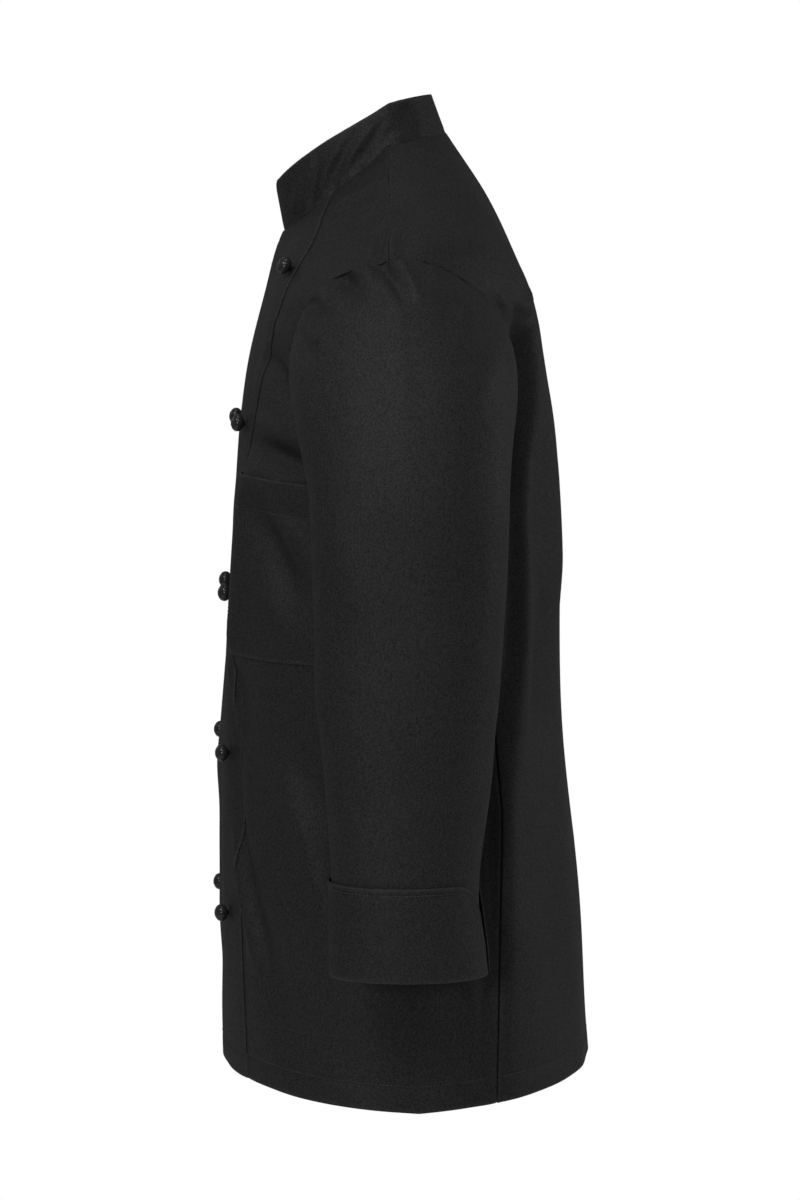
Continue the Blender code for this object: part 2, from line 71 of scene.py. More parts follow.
ARMHOLE_FRONT = ((90, 2.00), (77.5, 1.92), (65, 1.92), (54.5, 2.10), (48.5, 2.50),
                 (49.5, 3.15), (57, 4.05), (76, 4.78), (104, 5.00))
ARMHOLE_BACK = ((90, 2.00), (101, 2.04), (112, 2.24), (121, 2.56), (128.5, 3.00),
                (131.5, 3.62), (129.5, 4.30), (120, 4.85), (104, 5.00))
SIDE_SEAM = ((104, 5.00), (114, 6.00), (117, 7.00), (114, 8.00), (111, 9.00))
CENTRE_ROWS = (0.0, 0.5, 1.0, 1.4, 1.72, 1.98, 2.35, 2.9, 3.5, 4.05, 4.55, 5.0)
SHOULDER_STEPS, ARMHOLE_STEPS, SIDE_STEPS = 3, 8, 7
ARMPIT_STEP = SHOULDER_STEPS + ARMHOLE_STEPS
HEM_STEP = ARMPIT_STEP + SIDE_STEPS
LAP_EDGE_X = (0.060, 0.110, 0.126, 0.114, 0.103, 0.091, 0.087, 0.103, 0.114, 0.118)
BODY_FOLDS = (  # angle_1, height_1, angle_2, height_2, reach, lift
    (27, -0.285, 23, -0.405, 0.028, 0.0120),
    (-40, -0.30, -38, -0.40, 0.045, 0.0040),
    (155, -0.12, 160, -0.34, 0.040, 0.0040),
    (139, -0.18, 142, -0.46, 0.032, -0.0080),
    (-154, -0.13, -158, -0.32, 0.040, 0.0040),
    (-140, -0.19, -142, -0.44, 0.032, -0.0075),
)
SLEEVE_RINGS = (  # height, centre_x, centre_y, half_x, half_y
    (-0.300, 0.2755, 0.0065, 0.0560, 0.0795),
    (-0.400, 0.2750, 0.0065, 0.0545, 0.0755),
    (-0.460, 0.2745, 0.0060, 0.0530, 0.0715),
    (-0.525, 0.2740, 0.0050, 0.0510, 0.0650),
    (-0.590, 0.2735, 0.0030, 0.0485, 0.0595),
    (-0.660, 0.2730, 0.0050, 0.0465, 0.0605),
)
SLEEVE_SQUARE = 2.15
TURNS = 16.0
CAP_OUT = (0.84, 0.0, -0.54)
CAP_BULGE, CAP_PULL = 0.55, 0.95
CUFF_RINGS = (  # height, stand_off, rear_flare
    (-0.588, 0.0024, 0.0000),
    (-0.613, 0.0026, 0.0015),
    (-0.640, 0.0028, 0.0030),
    (-0.664, 0.0028, 0.0040),
)
CUFF_SLIT = (11.85, 12.75)
CUFF_CORNER = 0.036
COLLAR_FRONT_LEAN = (0.0, -0.0080, 0.0420)
COLLAR_SIDE_LEAN = (-0.0060, 0.0010, 0.0360)
COLLAR_BACK_LEAN = (0.0, -0.0115, 0.0318)
COLLAR_SWELL = 0.0068
COLLAR_CORNER, COLLAR_END_ANGLE = 0.014, 2.0
POCKET_FRONT_X, POCKET_WIDTH = 0.096, 0.130
POCKET_TOP, POCKET_SLOPE, POCKET_BOTTOM = -0.272, -0.007, -0.423
POCKET_DEPTH = 0.150
BUTTON_ROWS = ((-0.103, 0.110), (-0.232, 0.068), (-0.375, 0.066), (-0.509, 0.082),
               (-0.645, 0.082))
BALL_RADIUS, BALL_HALF_HEIGHT, SHANK_RADIUS, HOLE_RADIUS = 0.0073, 0.0058, 0.0016, 0.0023
PLATE_RADIUS, PLATE_THICKNESS = 0.0050, 0.0015
BALL_CLEAR, PLATE_BACK = 0.0005, -0.0052

# --- cloth and sewing --------------------------------------------------------------------------
WALL = 0.0012             # one layer of twill with its loft
HEM_WALL = 0.0026         # the turned-up hem
COLLAR_WALL = 0.0021
CUFF_WALL = 0.0017
HEM_DEPTH = 0.019
SEAM_DEPTH = 0.0021       # how far a seamed edge turns in
SEAM_ROUND = 0.0013       # radius of that turn
SIDE_DEPTH, SIDE_ROUND = 0.0034, 0.0020   # the same at the side seams
NECK_SHARE, COLLAR_SHARE = 0.3, 0.4       # share of that turn at the neck seam
SLEEVE_START = -0.0014    # a sleeve starts inside the armhole line, unlike its solid
HEM_LINE_STEP = HEM_STEP - HEM_DEPTH / 0.076       # close lines of the mesh over the hem
HEM_STITCH_STEP = HEM_STEP - HEM_DEPTH / 0.0757    # its stitches
MEASURED_STEP = 13.0      # the step at which a panel's width is shared out
CUFF_TURN = 2 * math.pi * 0.0535 / TURNS  # length of one turn round the cuff
COLLAR_MEAN_HEIGHT = 0.040
SPACING = 0.0043          # between the threads of the meshes


# --- numbers and lines -------------------------------------------------------------------------
def read_smooth(table: Array, position: Array) -> Array:
    """Read rows of a table at fractional positions, on a smooth curve through all of them.

    Args:
        table: One row of numbers for each whole position.
        position: Fractional positions of any shape.

    Returns:
        Numbers of the shape of position with the table's columns last.
    """
    table = np.asarray(table, dtype=float)
    last = len(table) - 1
    position = np.clip(np.asarray(position, dtype=float), 0.0, last)
    index = np.minimum(position.astype(int), last - 1)
    padded = np.concatenate([[2 * table[0] - table[1]], table, [2 * table[-1] - table[-2]]])
    before, here, after, beyond = (padded[index + offset] for offset in range(4))
    share = position - index
    if table.ndim > 1:
        share = share[..., None]
    return hermite(here, (after - before) / 2, after, (beyond - here) / 2, share)


def hermite(start: Array, start_slope: Array, end: Array, end_slope: Array, share: Array) -> Array:
    """Cubic from start to end with the given slopes, at a share from 0 to 1."""
    square, cube = share ** 2, share ** 3
    return (start * (2 * cube - 3 * square + 1) + start_slope * (cube - 2 * square + share)
            + end * (3 * square - 2 * cube) + end_slope * (cube - square))


def ease(share: Array) -> Array:
    """0 to 1 with a level start and end."""
    share = np.clip(share, 0.0, 1.0)
    return share * share * (3 - 2 * share)


def unit(vectors: Array) -> Array:
    """Vectors at length 1."""
    return vectors / np.maximum(np.linalg.norm(vectors, axis=-1, keepdims=True), 1e-12)


def pair(first: Array, second: Array) -> tuple[Array, ...]:
    """Two measures as numbers of one shape."""
    return tuple(np.broadcast_arrays(np.asarray(first, float), np.asarray(second, float)))


def bell(distance: Array, reach: float) -> Array:
    """1 at no distance, falling off smoothly over the reach."""
    return np.exp(-(distance / reach) ** 2)


def stations(line: Callable[[Array], Array], stops: Sequence[float], spacing: float,
             fine: Sequence[tuple[float, float, float]] = ()) -> Array:
    """Positions along a line of cloth, evenly spaced in metres and closer where asked.

    Args:
        line: Gives points for an array of positions.
        stops: Positions that are kept exactly, in order.
        spacing: Usual distance between neighbours.
        fine: Places that need closer lines, as position, spacing there, and reach.

    Returns:
        Rising positions from the first stop to the last.
    """
    dense = np.linspace(stops[0], stops[-1], 3000)
    steps = np.linalg.norm(np.diff(line(dense), axis=0), axis=1)
    length = np.concatenate([[0.0], np.cumsum(steps)])
    density = np.full(len(dense), 1.0 / spacing)
    for position, close, reach in fine:
        distance = length - np.interp(position, dense, length)
        density = np.maximum(density, bell(distance, reach) / close)
    count = np.concatenate([[0.0], np.cumsum(steps * (density[1:] + density[:-1]) / 2)])
    kept = [np.array([stops[0]])]
    for low, high in zip(stops, stops[1:]):
        first, last = np.interp([low, high], dense, count)
        number = max(1, round(last - first))
        kept.append(np.interp(np.linspace(first, last, number + 1)[1:], count, dense))
    return np.concatenate(kept)


@dataclass(frozen=True)
class Crease:
    """One soft fold placed on a surface.

    Attributes:
        start: Where it begins, in the surface's own two measures.
        end: Where it ends.
        reach: Half of its width in metres.
        lift: Height in metres; below zero it is a trough.
        bow: How far its middle bends, in the surface's first measure.
        partner: Share of the lift that a fold of the other sign beside it takes.
        skew: Above 1 its strongest place moves towards the end, below 1 to the start.
    """

    start: tuple[float, float]
    end: tuple[float, float]
    reach: float
    lift: float
    bow: float = 0.0
    partner: float = 0.0
    skew: float = 1.0

    @classmethod
    def rows(cls, *rows: tuple) -> tuple["Crease", ...]:
        """Creases from rows that hold their attributes in order."""
        return tuple(cls(*row) for row in rows)

    def lift_at(self, points: Array, normals: Array, surface: Surface) -> Array:
        """Height of this fold at points of the cloth.

        Args:
            points: Points of the bare surface, rows by columns by 3.
            normals: Outward directions at those points.
            surface: Gives bare points for the surface's two measures.

        Returns:
            Heights, rows by columns.
        """
        share = np.linspace(0.0, 1.0, 17)
        first = self.start[0] + (self.end[0] - self.start[0]) * share
        second = self.start[1] + (self.end[1] - self.start[1]) * share
        line = surface(first + self.bow * np.sin(np.pi * share), second)
        flat, outward = points.reshape(-1, 3), normals.reshape(-1, 3)
        middle = line.mean(axis=0)
        span = np.linalg.norm(line - middle, axis=1).max() + 4 * self.reach
        near = np.linalg.norm(flat - middle, axis=1) < span
        total = np.zeros(len(flat))
        if near.any():
            total[near] = self._profile(flat[near], outward[near], line)
        return total.reshape(points.shape[:-1])

    def _profile(self, points: Array, outward: Array, line: Array) -> Array:
        """Height of this fold at a list of points near its line."""
        best = np.full(len(points), np.inf)
        signed, place = np.zeros(len(points)), np.zeros(len(points))
        for index, (low, high) in enumerate(zip(line, line[1:])):
            step = high - low
            along = np.clip((points - low) @ step / (step @ step), 0.0, 1.0)
            offset = points - low - along[:, None] * step
            distance = np.linalg.norm(offset, axis=1)
            side = np.sign(np.sum(np.cross(outward, step) * offset, axis=1))
            closer = distance < best
            best = np.where(closer, distance, best)
            signed = np.where(closer, side * distance, signed)
            place = np.where(closer, (index + along) / (len(line) - 1), place)
        across = signed / self.reach
        shape = np.exp(-across ** 2) - self.partner * np.exp(-(across - 1.6) ** 2)
        return self.lift * shape * np.sin(np.pi * place ** self.skew) ** 0.8


@dataclass(frozen=True)
class Unevenness:
    """Slow, uneven drape, as a sum of soft waves in seeded directions.

    Attributes:
        seed: Seed of its directions and lengths.
        amplitude: Usual height in metres.
        shortest: Shortest wave in metres.
        longest: Longest wave in metres.
        upright: How many times longer the waves are down the cloth than across it.
    """

    seed: int
    amplitude: float
    shortest: float
    longest: float
    upright: float = 3.0

    def lift_at(self, points: Array) -> Array:
        """Heights at points of the cloth."""
        waves = 14
        random = np.random.default_rng(self.seed)
        total = np.zeros(points.shape[:-1])
        for _ in range(waves):
            direction = random.normal(size=3) / (1.0, 1.0, self.upright)
            direction /= np.linalg.norm(direction)
            length = random.uniform(self.shortest, self.longest)
            phase = random.uniform(0.0, 2 * np.pi)
            total += np.sin(points @ direction * (2 * np.pi / length) + phase)
        return total * self.amplitude / math.sqrt(waves / 2)


def puckers(along: Array, distance: Array, height: float, reach: float, seed: int) -> Array:
    """Small uneven gathers beside a seam or a line of stitches.

    Args:
        along: Distance along the seam, in metres.
        distance: Distance from the seam, in metres.
        height: Height of the strongest gathers.
        reach: How far they run out from the seam.
        seed: Seed of their spacing.

    Returns:
        Heights of the shape of along and distance.
    """
    random = np.random.default_rng(seed)
    total = np.zeros(np.broadcast(along, distance).shape)
    for _ in range(4):
        length = random.uniform(0.013, 0.027)
        phase, drift = random.uniform(0.0, 2 * np.pi, size=2)
        strength = 0.5 + 0.5 * np.sin(along * 2 * np.pi / random.uniform(0.07, 0.16) + drift)
        total += strength * np.sin(along * 2 * np.pi / length + phase)
    return total * bell(distance, reach) * height / 2.6


# --- cloth shells ------------------------------------------------------------------------------
@dataclass
class ClothGrid:
    """The outer face of one cut piece, as rows of points from top to bottom.

    Attributes:
        points: Rows by columns by 3.
        closed: Whether each row joins its own start, as round a sleeve.
    """

    points: Array
    closed: bool = False

    def normals(self) -> Array:
        """Outward direction at each point."""
        points = self.points
        if self.closed:
            wrapped = np.concatenate([points[:, -1:], points, points[:, :1]], axis=1)
            around = (wrapped[:, 2:] - wrapped[:, :-2])
        else:
            around = np.gradient(points, axis=1)
        down = np.gradient(points, axis=0)
        return unit(np.cross(down, around))

    def widths(self) -> Array:
        """Distance of each point from its row's first point, along the row."""
        steps = np.linalg.norm(np.diff(self.points, axis=1), axis=-1)
        return np.concatenate([np.zeros((len(steps), 1)), np.cumsum(steps, axis=1)], axis=1)

    def depths(self) -> Array:
        """Distance of each point from its column's first point, down the column."""
        steps = np.linalg.norm(np.diff(self.points, axis=0), axis=-1)
        return np.concatenate([np.zeros((1, steps.shape[1])), np.cumsum(steps, axis=0)], axis=0)

    def from_end(self) -> Array:
        """Distance of each point from its row's last point, along the row."""
        widths = self.widths()
        return widths[:, -1:] - widths

    def above_end(self) -> Array:
        """Distance of each point from its column's last point, up the column."""
        depths = self.depths()
        return depths[-1:] - depths

    def moved(self, lift: Array) -> "ClothGrid":
        """The same piece moved out along its own normals."""
        return ClothGrid(self.points + self.normals() * lift[..., None], self.closed)


def seam_turn(distance: Array, turn: float = SEAM_ROUND, depth: float = SEAM_DEPTH) -> Array:
    """How far a seamed edge drops into the seam.

    Args:
        distance: Distance from the seam line.
        turn: Radius over which the cloth turns in.
        depth: Drop at the seam line itself.

    Returns:
        Heights below zero, of the shape of distance.
    """
    share = np.clip(1 - distance / turn, 0.0, 1.0)
    return -turn * (1 - np.sqrt(np.maximum(1 - share ** 2, 0.0))) - (depth - turn) * share ** 12


class ShellSewer:
    """Turns a grid of cloth into a closed shell with rounded edges."""

    def __init__(self, name: str, grid: ClothGrid, wall: Array, wear: Array) -> None:
        """Keep what the shell is made from.

        Args:
            name: Name of the piece.
            grid: Its outer face.
            wall: Thickness at each point.
            wear: How far the cloth at each point is lightened, 0 to 1, for rubbing and a painted
                highlight.
        """
        self.name = name
        self.grid = grid
        self.wall = np.broadcast_to(wall, grid.points.shape[:2])
        self.wear = np.broadcast_to(wear, grid.points.shape[:2])

    def _outline(self) -> list[Array]:
        """Indices of the open edges, as loops that keep the cloth on their left."""
        rows, columns = self.grid.points.shape[:2]
        index = np.arange(rows * columns).reshape(rows, columns)
        if self.grid.closed:
            return [index[0, ::-1], index[-1]]
        return [np.concatenate([index[:, 0], index[-1, 1:], index[-2::-1, -1], index[0, -2:0:-1]])]

    def make(self, material: bpy.types.Material) -> bpy.types.Object:
        """Build the object, linked to the scene with its finish."""
        points, normals = self.grid.points, self.grid.normals()
        rows, columns = points.shape[:2]
        outer = points.reshape(-1, 3)
        outward = normals.reshape(-1, 3)
        wall = self.wall.reshape(-1)
        count = len(outer)
        verts = [outer, outer - outward * wall[:, None]]
        wear = [self.wear.reshape(-1), self.wear.reshape(-1)]
        grain = self._grain()
        grains = [grain.reshape(-1, 2), grain.reshape(-1, 2)]
        index = np.arange(count).reshape(rows, columns)
        if self.grid.closed:
            index = np.concatenate([index, index[:, :1]], axis=1)
        upper_left, upper_right = index[:-1, :-1].ravel(), index[:-1, 1:].ravel()
        lower_left, lower_right = index[1:, :-1].ravel(), index[1:, 1:].ravel()
        face = np.stack([upper_left, lower_left, lower_right, upper_right], axis=1)
        faces = [face, face[:, ::-1] + count]
        total = 2 * count
        for loop in self._outline():
            around = unit(np.roll(outer[loop], -1, axis=0) - np.roll(outer[loop], 1, axis=0))
            away = unit(np.cross(around, outward[loop]))
            half = wall[loop][:, None] / 2
            layers = [loop]
            for turn in (math.pi / 4, math.pi / 2, 3 * math.pi / 4):
                ring = (outer[loop] - outward[loop] * half * (1 - math.cos(turn))
                        + away * half * math.sin(turn))
                verts.append(ring)
                # The rounded rims are lightened in full: part rubbing, part painted highlight.
                wear.append(np.ones(len(loop)))
                grains.append(grain.reshape(-1, 2)[loop])
                layers.append(total + np.arange(len(loop)))
                total += len(loop)
            layers.append(loop + count)
            for near, far in zip(layers, layers[1:]):
                faces.append(np.stack([near, far, np.roll(far, -1), np.roll(near, -1)], axis=1))
        verts, faces = np.concatenate(verts), np.concatenate(faces)
        return self._object(verts, faces, np.concatenate(wear), np.concatenate(grains), material)

    def _grain(self) -> Array:
        """Position of each point along and across the weave, in metres."""
        widths, depths = self.grid.widths(), self.grid.depths()
        middle = widths.shape[1] // 2
        across = widths - widths[:, middle:middle + 1]
        down = np.broadcast_to(depths.mean(axis=1, keepdims=True), across.shape)
        return np.stack([across, -down], axis=-1)

    def _object(self, verts: Array, faces: Array, wear: Array, grain: Array,
                material: bpy.types.Material) -> bpy.types.Object:
        """Make the mesh object with its weave map and its lightened edges, part rubbing and part
        painted highlight.

        Args:
            verts: All points.
            faces: Four corners of each face.
            wear: Lightening at each point, for rubbing and a painted highlight.
            grain: Place in the weave at each point.
            material: Finish of the piece.

        Returns:
            The linked object.
        """
        mesh = make_mesh(self.name, verts, faces)
        corners = grain[faces]
        if self.grid.closed:
            width = np.ptp(grain[:, 0])
            jump = np.ptp(corners[..., 0], axis=1) > width / 2
            low = corners[..., 0] < 0
            corners[..., 0] += np.where(jump[:, None] & low, width * 1.008, 0.0)
        layer = mesh.uv_layers.new(name="Grain")
        layer.uv.foreach_set("vector", corners.astype(np.float32).ravel())
        # Lightening for the cloth's material: part rubbing, part painted highlight.
        rubbed = mesh.attributes.new("Wear", "FLOAT", "POINT")
        rubbed.data.foreach_set("value", wear.astype(np.float32))
        mesh.shade_smooth()
        return finish_piece(self.name, mesh, material)


def make_mesh(name: str, verts: Array, faces: Array) -> bpy.types.Mesh:
    """Make a mesh of points and faces."""
    mesh = bpy.data.meshes.new(name)
    mesh.from_pydata(verts, [], faces)
    return mesh


def add_object(name: str, data: bpy.types.ID) -> bpy.types.Object:
    """Make an object of a mesh, light or camera and link it to the scene."""
    made = bpy.data.objects.new(name, data)
    bpy.context.scene.collection.objects.link(made)
    return made


def finish_piece(name: str, mesh: bpy.types.Mesh, material: bpy.types.Material) -> bpy.types.Object:
    """Dress a mesh of cloth or thread and let it ride on the jacket."""
    mesh.materials.append(material)
    mesh.validate()
    piece = add_object(name, mesh)
    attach(piece, "root")
    LOG.info("%s: %d faces", name, len(mesh.polygons))
    return piece


def read_line(values: Array, length: Array, at: Array) -> Array:
    """Points or directions of a line at distances along it."""
    return np.stack([np.interp(at, length, values[:, axis]) for axis in range(3)], axis=-1)


# --- thread ------------------------------------------------------------------------------------
@dataclass(frozen=True)
class Stitch:
    """Sizes of one stitch of sewing thread.

    Attributes:
        length: Visible length of the thread.
        gap: Distance from one stitch to the next in a row.
        width: Across the thread.
        height: How far it stands up.
    """

    length: float = 0.0024
    gap: float = 0.0032
    width: float = 0.00068
    height: float = 0.00044

    def template(self) -> tuple[Array, Array]:
        """Points and triangles of one stitch, along X with Z up."""
        sides = 6
        rings = ((-0.40, 0.72), (0.0, 1.0), (0.40, 0.72))
        verts = [(-0.5 * self.length, 0.0, 0.0)]
        for along, size in rings:
            for side in range(sides):
                turn = 2 * math.pi * side / sides
                verts.append((along * self.length, size * self.width / 2 * math.cos(turn),
                              size * self.height * math.sin(turn)))
        verts.append((0.5 * self.length, 0.0, 0.0))
        faces = []
        last = len(verts) - 1
        for side in range(sides):
            after = (side + 1) % sides
            faces.append((0, 1 + after, 1 + side))
            for ring in range(len(rings) - 1):
                near, far = 1 + ring * sides, 1 + (ring + 1) * sides
                faces.append((near + side, near + after, far + after))
                faces.append((near + side, far + after, far + side))
            faces.append((last - sides + side, last - sides + after, last))
        return np.array(verts), np.array(faces)


class Sewing:
    """Collects stitches and makes one piece of thread from them."""

    def __init__(self, name: str, stitch: Stitch = Stitch()) -> None:
        """Start an empty row of sewing with a name and a kind of stitch."""
        self.name = name
        self.stitch = stitch
        self.random = np.random.default_rng(len(name))
        self.centres: list[Array] = []
        self.frames: list[Array] = []

    def place(self, centres: Array, along: Array, outward: Array, sink: float = 0.0001) -> None:
        """Add stitches.

        Args:
            centres: Points on the cloth.
            along: Directions of the thread.
            outward: Outward directions of the cloth.
            sink: How far each stitch is pulled into the cloth.
        """
        outward = unit(outward)
        along = unit(along - outward * np.sum(along * outward, axis=-1, keepdims=True))
        self.frames.append(np.stack([along, np.cross(outward, along), outward], axis=-1))
        self.centres.append(centres - outward * sink)

    def row(self, line: Array, outward: Array) -> None:
        """Add stitches along a line of points with their outward directions."""
        steps = np.linalg.norm(np.diff(line, axis=0), axis=1)
        length = np.concatenate([[0.0], np.cumsum(steps)])
        number = max(2, round(length[-1] / self.stitch.gap))
        at = (np.arange(number) + 0.5) / number * length[-1]
        at = at + self.random.normal(0.0, 0.00010, size=number)
        along = read_line(line, length, at + 0.001) - read_line(line, length, at - 0.001)
        self.place(read_line(line, length, at), along, read_line(outward, length, at))

    def make(self, material: bpy.types.Material) -> bpy.types.Object:
        """Build the thread as one object."""
        verts, faces = self.stitch.template()
        centres, frames = np.concatenate(self.centres), np.concatenate(self.frames)
        placed = np.einsum("nij,vj->nvi", frames, verts) + centres[:, None, :]
        linked = faces[None] + (np.arange(len(centres)) * len(verts))[:, None, None]
        mesh = make_mesh(self.name, placed.reshape(-1, 3), linked.reshape(-1, 3))
        mesh.shade_smooth()
        return finish_piece(self.name, mesh, material)


# --- finishes ----------------------------------------------------------------------------------
class NodeBench:
    """Short ways to add and join shader nodes in one material."""

    def __init__(self, name: str) -> None:
        """Start a material with a Principled shader."""
        self.material = bpy.data.materials.new(name)
        self.material.use_nodes = True
        self.tree = self.material.node_tree
        self.shader = self.tree.nodes["Principled BSDF"]

    def add(self, kind: str, **settings: object) -> bpy.types.Node:
        """Add a node and set its properties by name."""
        node = self.tree.nodes.new(kind)
        for key, value in settings.items():
            setattr(node, key, value)
        return node

    def feed(self, socket: bpy.types.NodeSocket, value: object) -> None:
        """Link an output to a socket, or set the socket to a number or colour."""
        if isinstance(value, bpy.types.NodeSocket):
            self.tree.links.new(value, socket)
        else:
            socket.default_value = value

    def fed(self, kind: str, values: dict[str | int, object],
            **settings: object) -> bpy.types.Node:
        """Add a node with its inputs, by name or number, and its properties."""
        node = self.add(kind, **settings)
        for key, value in values.items():
            self.feed(node.inputs[key], value)
        return node

    def surface(self, values: dict[str, object]) -> bpy.types.Material:
        """Feed the shader's sockets and give the finished material."""
        for key, value in values.items():
            self.feed(self.shader.inputs[key], value)
        return self.material

    def math(self, operation: str, first: object, second: object = 0.0) -> bpy.types.NodeSocket:
        """Result of a Math node."""
        return self.fed("ShaderNodeMath", {0: first, 1: second}, operation=operation).outputs[0]

    def spread(self, value: object, low: float, high: float, to_low: float,
               to_high: float) -> bpy.types.NodeSocket:
        """Map a value from one range to another."""
        values = dict(enumerate((value, low, high, to_low, to_high)))
        return self.fed("ShaderNodeMapRange", values).outputs[0]

    def noise(self, place: object, scale: float, detail: float = 2.0,
              roughness: float = 0.5) -> bpy.types.NodeSocket:
        """Value of a Noise texture."""
        return self.fed("ShaderNodeTexNoise", {"Vector": place, "Scale": scale, "Detail": detail,
                                               "Roughness": roughness}).outputs[0]

    def stretched(self, place: object, scale: tuple[float, float, float]) -> bpy.types.NodeSocket:
        """A place scaled along each axis."""
        return self.fed("ShaderNodeMapping", {"Vector": place, "Scale": scale}).outputs[0]

    def blend_colours(self, share: object, first: object, second: object) -> bpy.types.NodeSocket:
        """Mix of two colours."""
        return self.fed("ShaderNodeMix", {0: share, 6: first, 7: second},
                        data_type="RGBA").outputs[2]

    def bump(self, height: object, distance: float, strength: float) -> bpy.types.NodeSocket:
        """Normal raised by a height."""
        return self.fed("ShaderNodeBump", {"Height": height, "Distance": distance,
                                           "Strength": strength}).outputs[0]


@dataclass(frozen=True)
class BlackTwill:
    """Matt black cotton-blend twill.

    Attributes:
        dark: Colour in the valleys of the weave.
        light: Colour on the crowns of the yarns.
        rubbed: Lighter colour along folded edges and seams, part rubbing and part painted
            highlight.
        roughness: Roughness of the yarns.
        gloss: Specular level.
        pitch: Distance between the diagonal ribs.
    """

    dark: tuple[float, float, float, float] = (0.0040, 0.0040, 0.0042, 1.0)
    light: tuple[float, float, float, float] = (0.0238, 0.0238, 0.0243, 1.0)
    # Lighter edge colour: part rubbing, part painted highlight.
    rubbed: tuple[float, float, float, float] = (0.0460, 0.0460, 0.0465, 1.0)
    roughness: float = 0.60
    gloss: float = 0.20
    pitch: float = 0.00085

    def make(self) -> bpy.types.Material:
        """Build the material."""
        bench = NodeBench("black_twill")
        grain = bench.add("ShaderNodeUVMap", uv_map="Grain").outputs[0]
        place = bench.add("ShaderNodeTexCoord").outputs["Object"]
        parts = bench.add("ShaderNodeSeparateXYZ")
        bench.feed(parts.inputs[0], grain)
        across, down = parts.outputs[0], parts.outputs[1]
        waver = bench.math("MULTIPLY", bench.noise(place, 900.0, 1.0), self.pitch * 0.55)
        slope = bench.math("ADD", bench.math("MULTIPLY", down, 0.62), across)
        slope = bench.math("ADD", slope, waver)
        rib = bench.math("SINE", bench.math("MULTIPLY", slope, 2 * math.pi / self.pitch))
        yarn = bench.math("SINE", bench.math("MULTIPLY", bench.math("ADD", down, waver),
                                             2 * math.pi / (self.pitch * 0.5)))
        weave = bench.math("ADD", bench.math("MULTIPLY", rib, 0.7),
                           bench.math("MULTIPLY", yarn, 0.3))
        slub = bench.noise(bench.stretched(grain, (700.0, 90.0, 1.0)), 1.0, 2.0, 0.6)
        cloud = bench.noise(place, 11.0, 3.0, 0.55)
        fleck = bench.noise(place, 760.0, 2.0, 0.75)
        tone = bench.math("ADD", bench.spread(weave, -1.0, 1.0, 0.0, 0.35),
                          bench.spread(slub, 0.3, 0.7, 0.0, 0.20))
        tone = bench.math("ADD", tone, bench.spread(cloud, 0.3, 0.7, 0.0, 0.12))
        tone = bench.math("ADD", tone, bench.spread(fleck, 0.36, 0.66, -0.27, 0.87))
        colour = bench.blend_colours(tone, self.dark, self.light)
        # Edges, seams and folds are mixed towards the lighter colour: part rubbing, part painted
        # highlight.
        wear = bench.add("ShaderNodeAttribute", attribute_name="Wear").outputs["Fac"]
        rubbed = bench.math("MULTIPLY", wear, bench.spread(fleck, 0.3, 0.8, 0.10, 0.55))
        colour = bench.blend_colours(rubbed, colour, self.rubbed)
        rough = bench.spread(tone, 0.0, 1.1, self.roughness + 0.08, self.roughness - 0.08)
        height = bench.math("ADD", weave, bench.math("MULTIPLY", slub, 0.9))
        height = bench.math("ADD", height, bench.math("MULTIPLY", fleck, 0.9))
        return bench.surface({"Base Color": colour, "Roughness": rough,
                              "Normal": bench.bump(height, 0.00007, 0.55),
                              "Specular IOR Level": self.gloss})


@dataclass(frozen=True)
class SewingThread:
    """Spun polyester thread, lighter than the cloth: its own dark grey with a painted sheen.

    Attributes:
        dark: Colour between the plies.
        light: Colour on the plies, lightened for a painted sheen.
        roughness: Roughness of the thread.
    """

    dark: tuple[float, float, float, float] = (0.012, 0.012, 0.013, 1.0)
    # Lighter than the cloth: part the thread's own grey, part painted sheen.
    light: tuple[float, float, float, float] = (0.080, 0.080, 0.083, 1.0)
    roughness: float = 0.42

    def make(self) -> bpy.types.Material:
        """Build the material."""
        bench = NodeBench("black_thread")
        place = bench.add("ShaderNodeTexCoord").outputs["Object"]
        ply = bench.noise(place, 2600.0, 1.0, 0.5)
        patch = bench.noise(place, 35.0, 2.0, 0.6)
        share = bench.math("MULTIPLY", bench.spread(ply, 0.35, 0.65, 0.2, 1.0),
                           bench.spread(patch, 0.35, 0.68, 0.25, 1.0))
        return bench.surface({
            "Base Color": bench.blend_colours(share, self.dark, self.light),
            "Roughness": bench.spread(ply, 0.3, 0.7, self.roughness, self.roughness + 0.15),
            "Normal": bench.bump(ply, 0.00006, 0.4), "Specular IOR Level": 0.45})


@dataclass(frozen=True)
class BallPlastic:
    """Glossy black moulded plastic of the ball buttons.

    Attributes:
        deep: Colour of the plastic.
        scuffed: Colour where handling has dulled it.
        roughness: Roughness of the polished skin.
    """

    deep: tuple[float, float, float, float] = (0.018, 0.018, 0.019, 1.0)
    scuffed: tuple[float, float, float, float] = (0.032, 0.032, 0.033, 1.0)
    roughness: float = 0.19

    def make(self) -> bpy.types.Material:
        """Build the material."""
        bench = NodeBench("glossy_ball_plastic")
        place = bench.add("ShaderNodeTexCoord").outputs["Object"]
        patch = bench.noise(place, 240.0, 3.0, 0.6)
        fine = bench.noise(place, 2200.0, 2.0, 0.7)
        scuffs = bench.spread(patch, 0.45, 0.75, 0.0, 0.8)
        rough = bench.math("ADD", bench.spread(patch, 0.4, 0.8, self.roughness, 0.22),
                           bench.spread(fine, 0.5, 0.8, 0.0, 0.05))
        return bench.surface({"Base Color": bench.blend_colours(scuffs, self.deep, self.scuffed),
                              "Roughness": rough, "Normal": bench.bump(fine, 0.00002, 0.15),
                              "Specular IOR Level": 0.32})


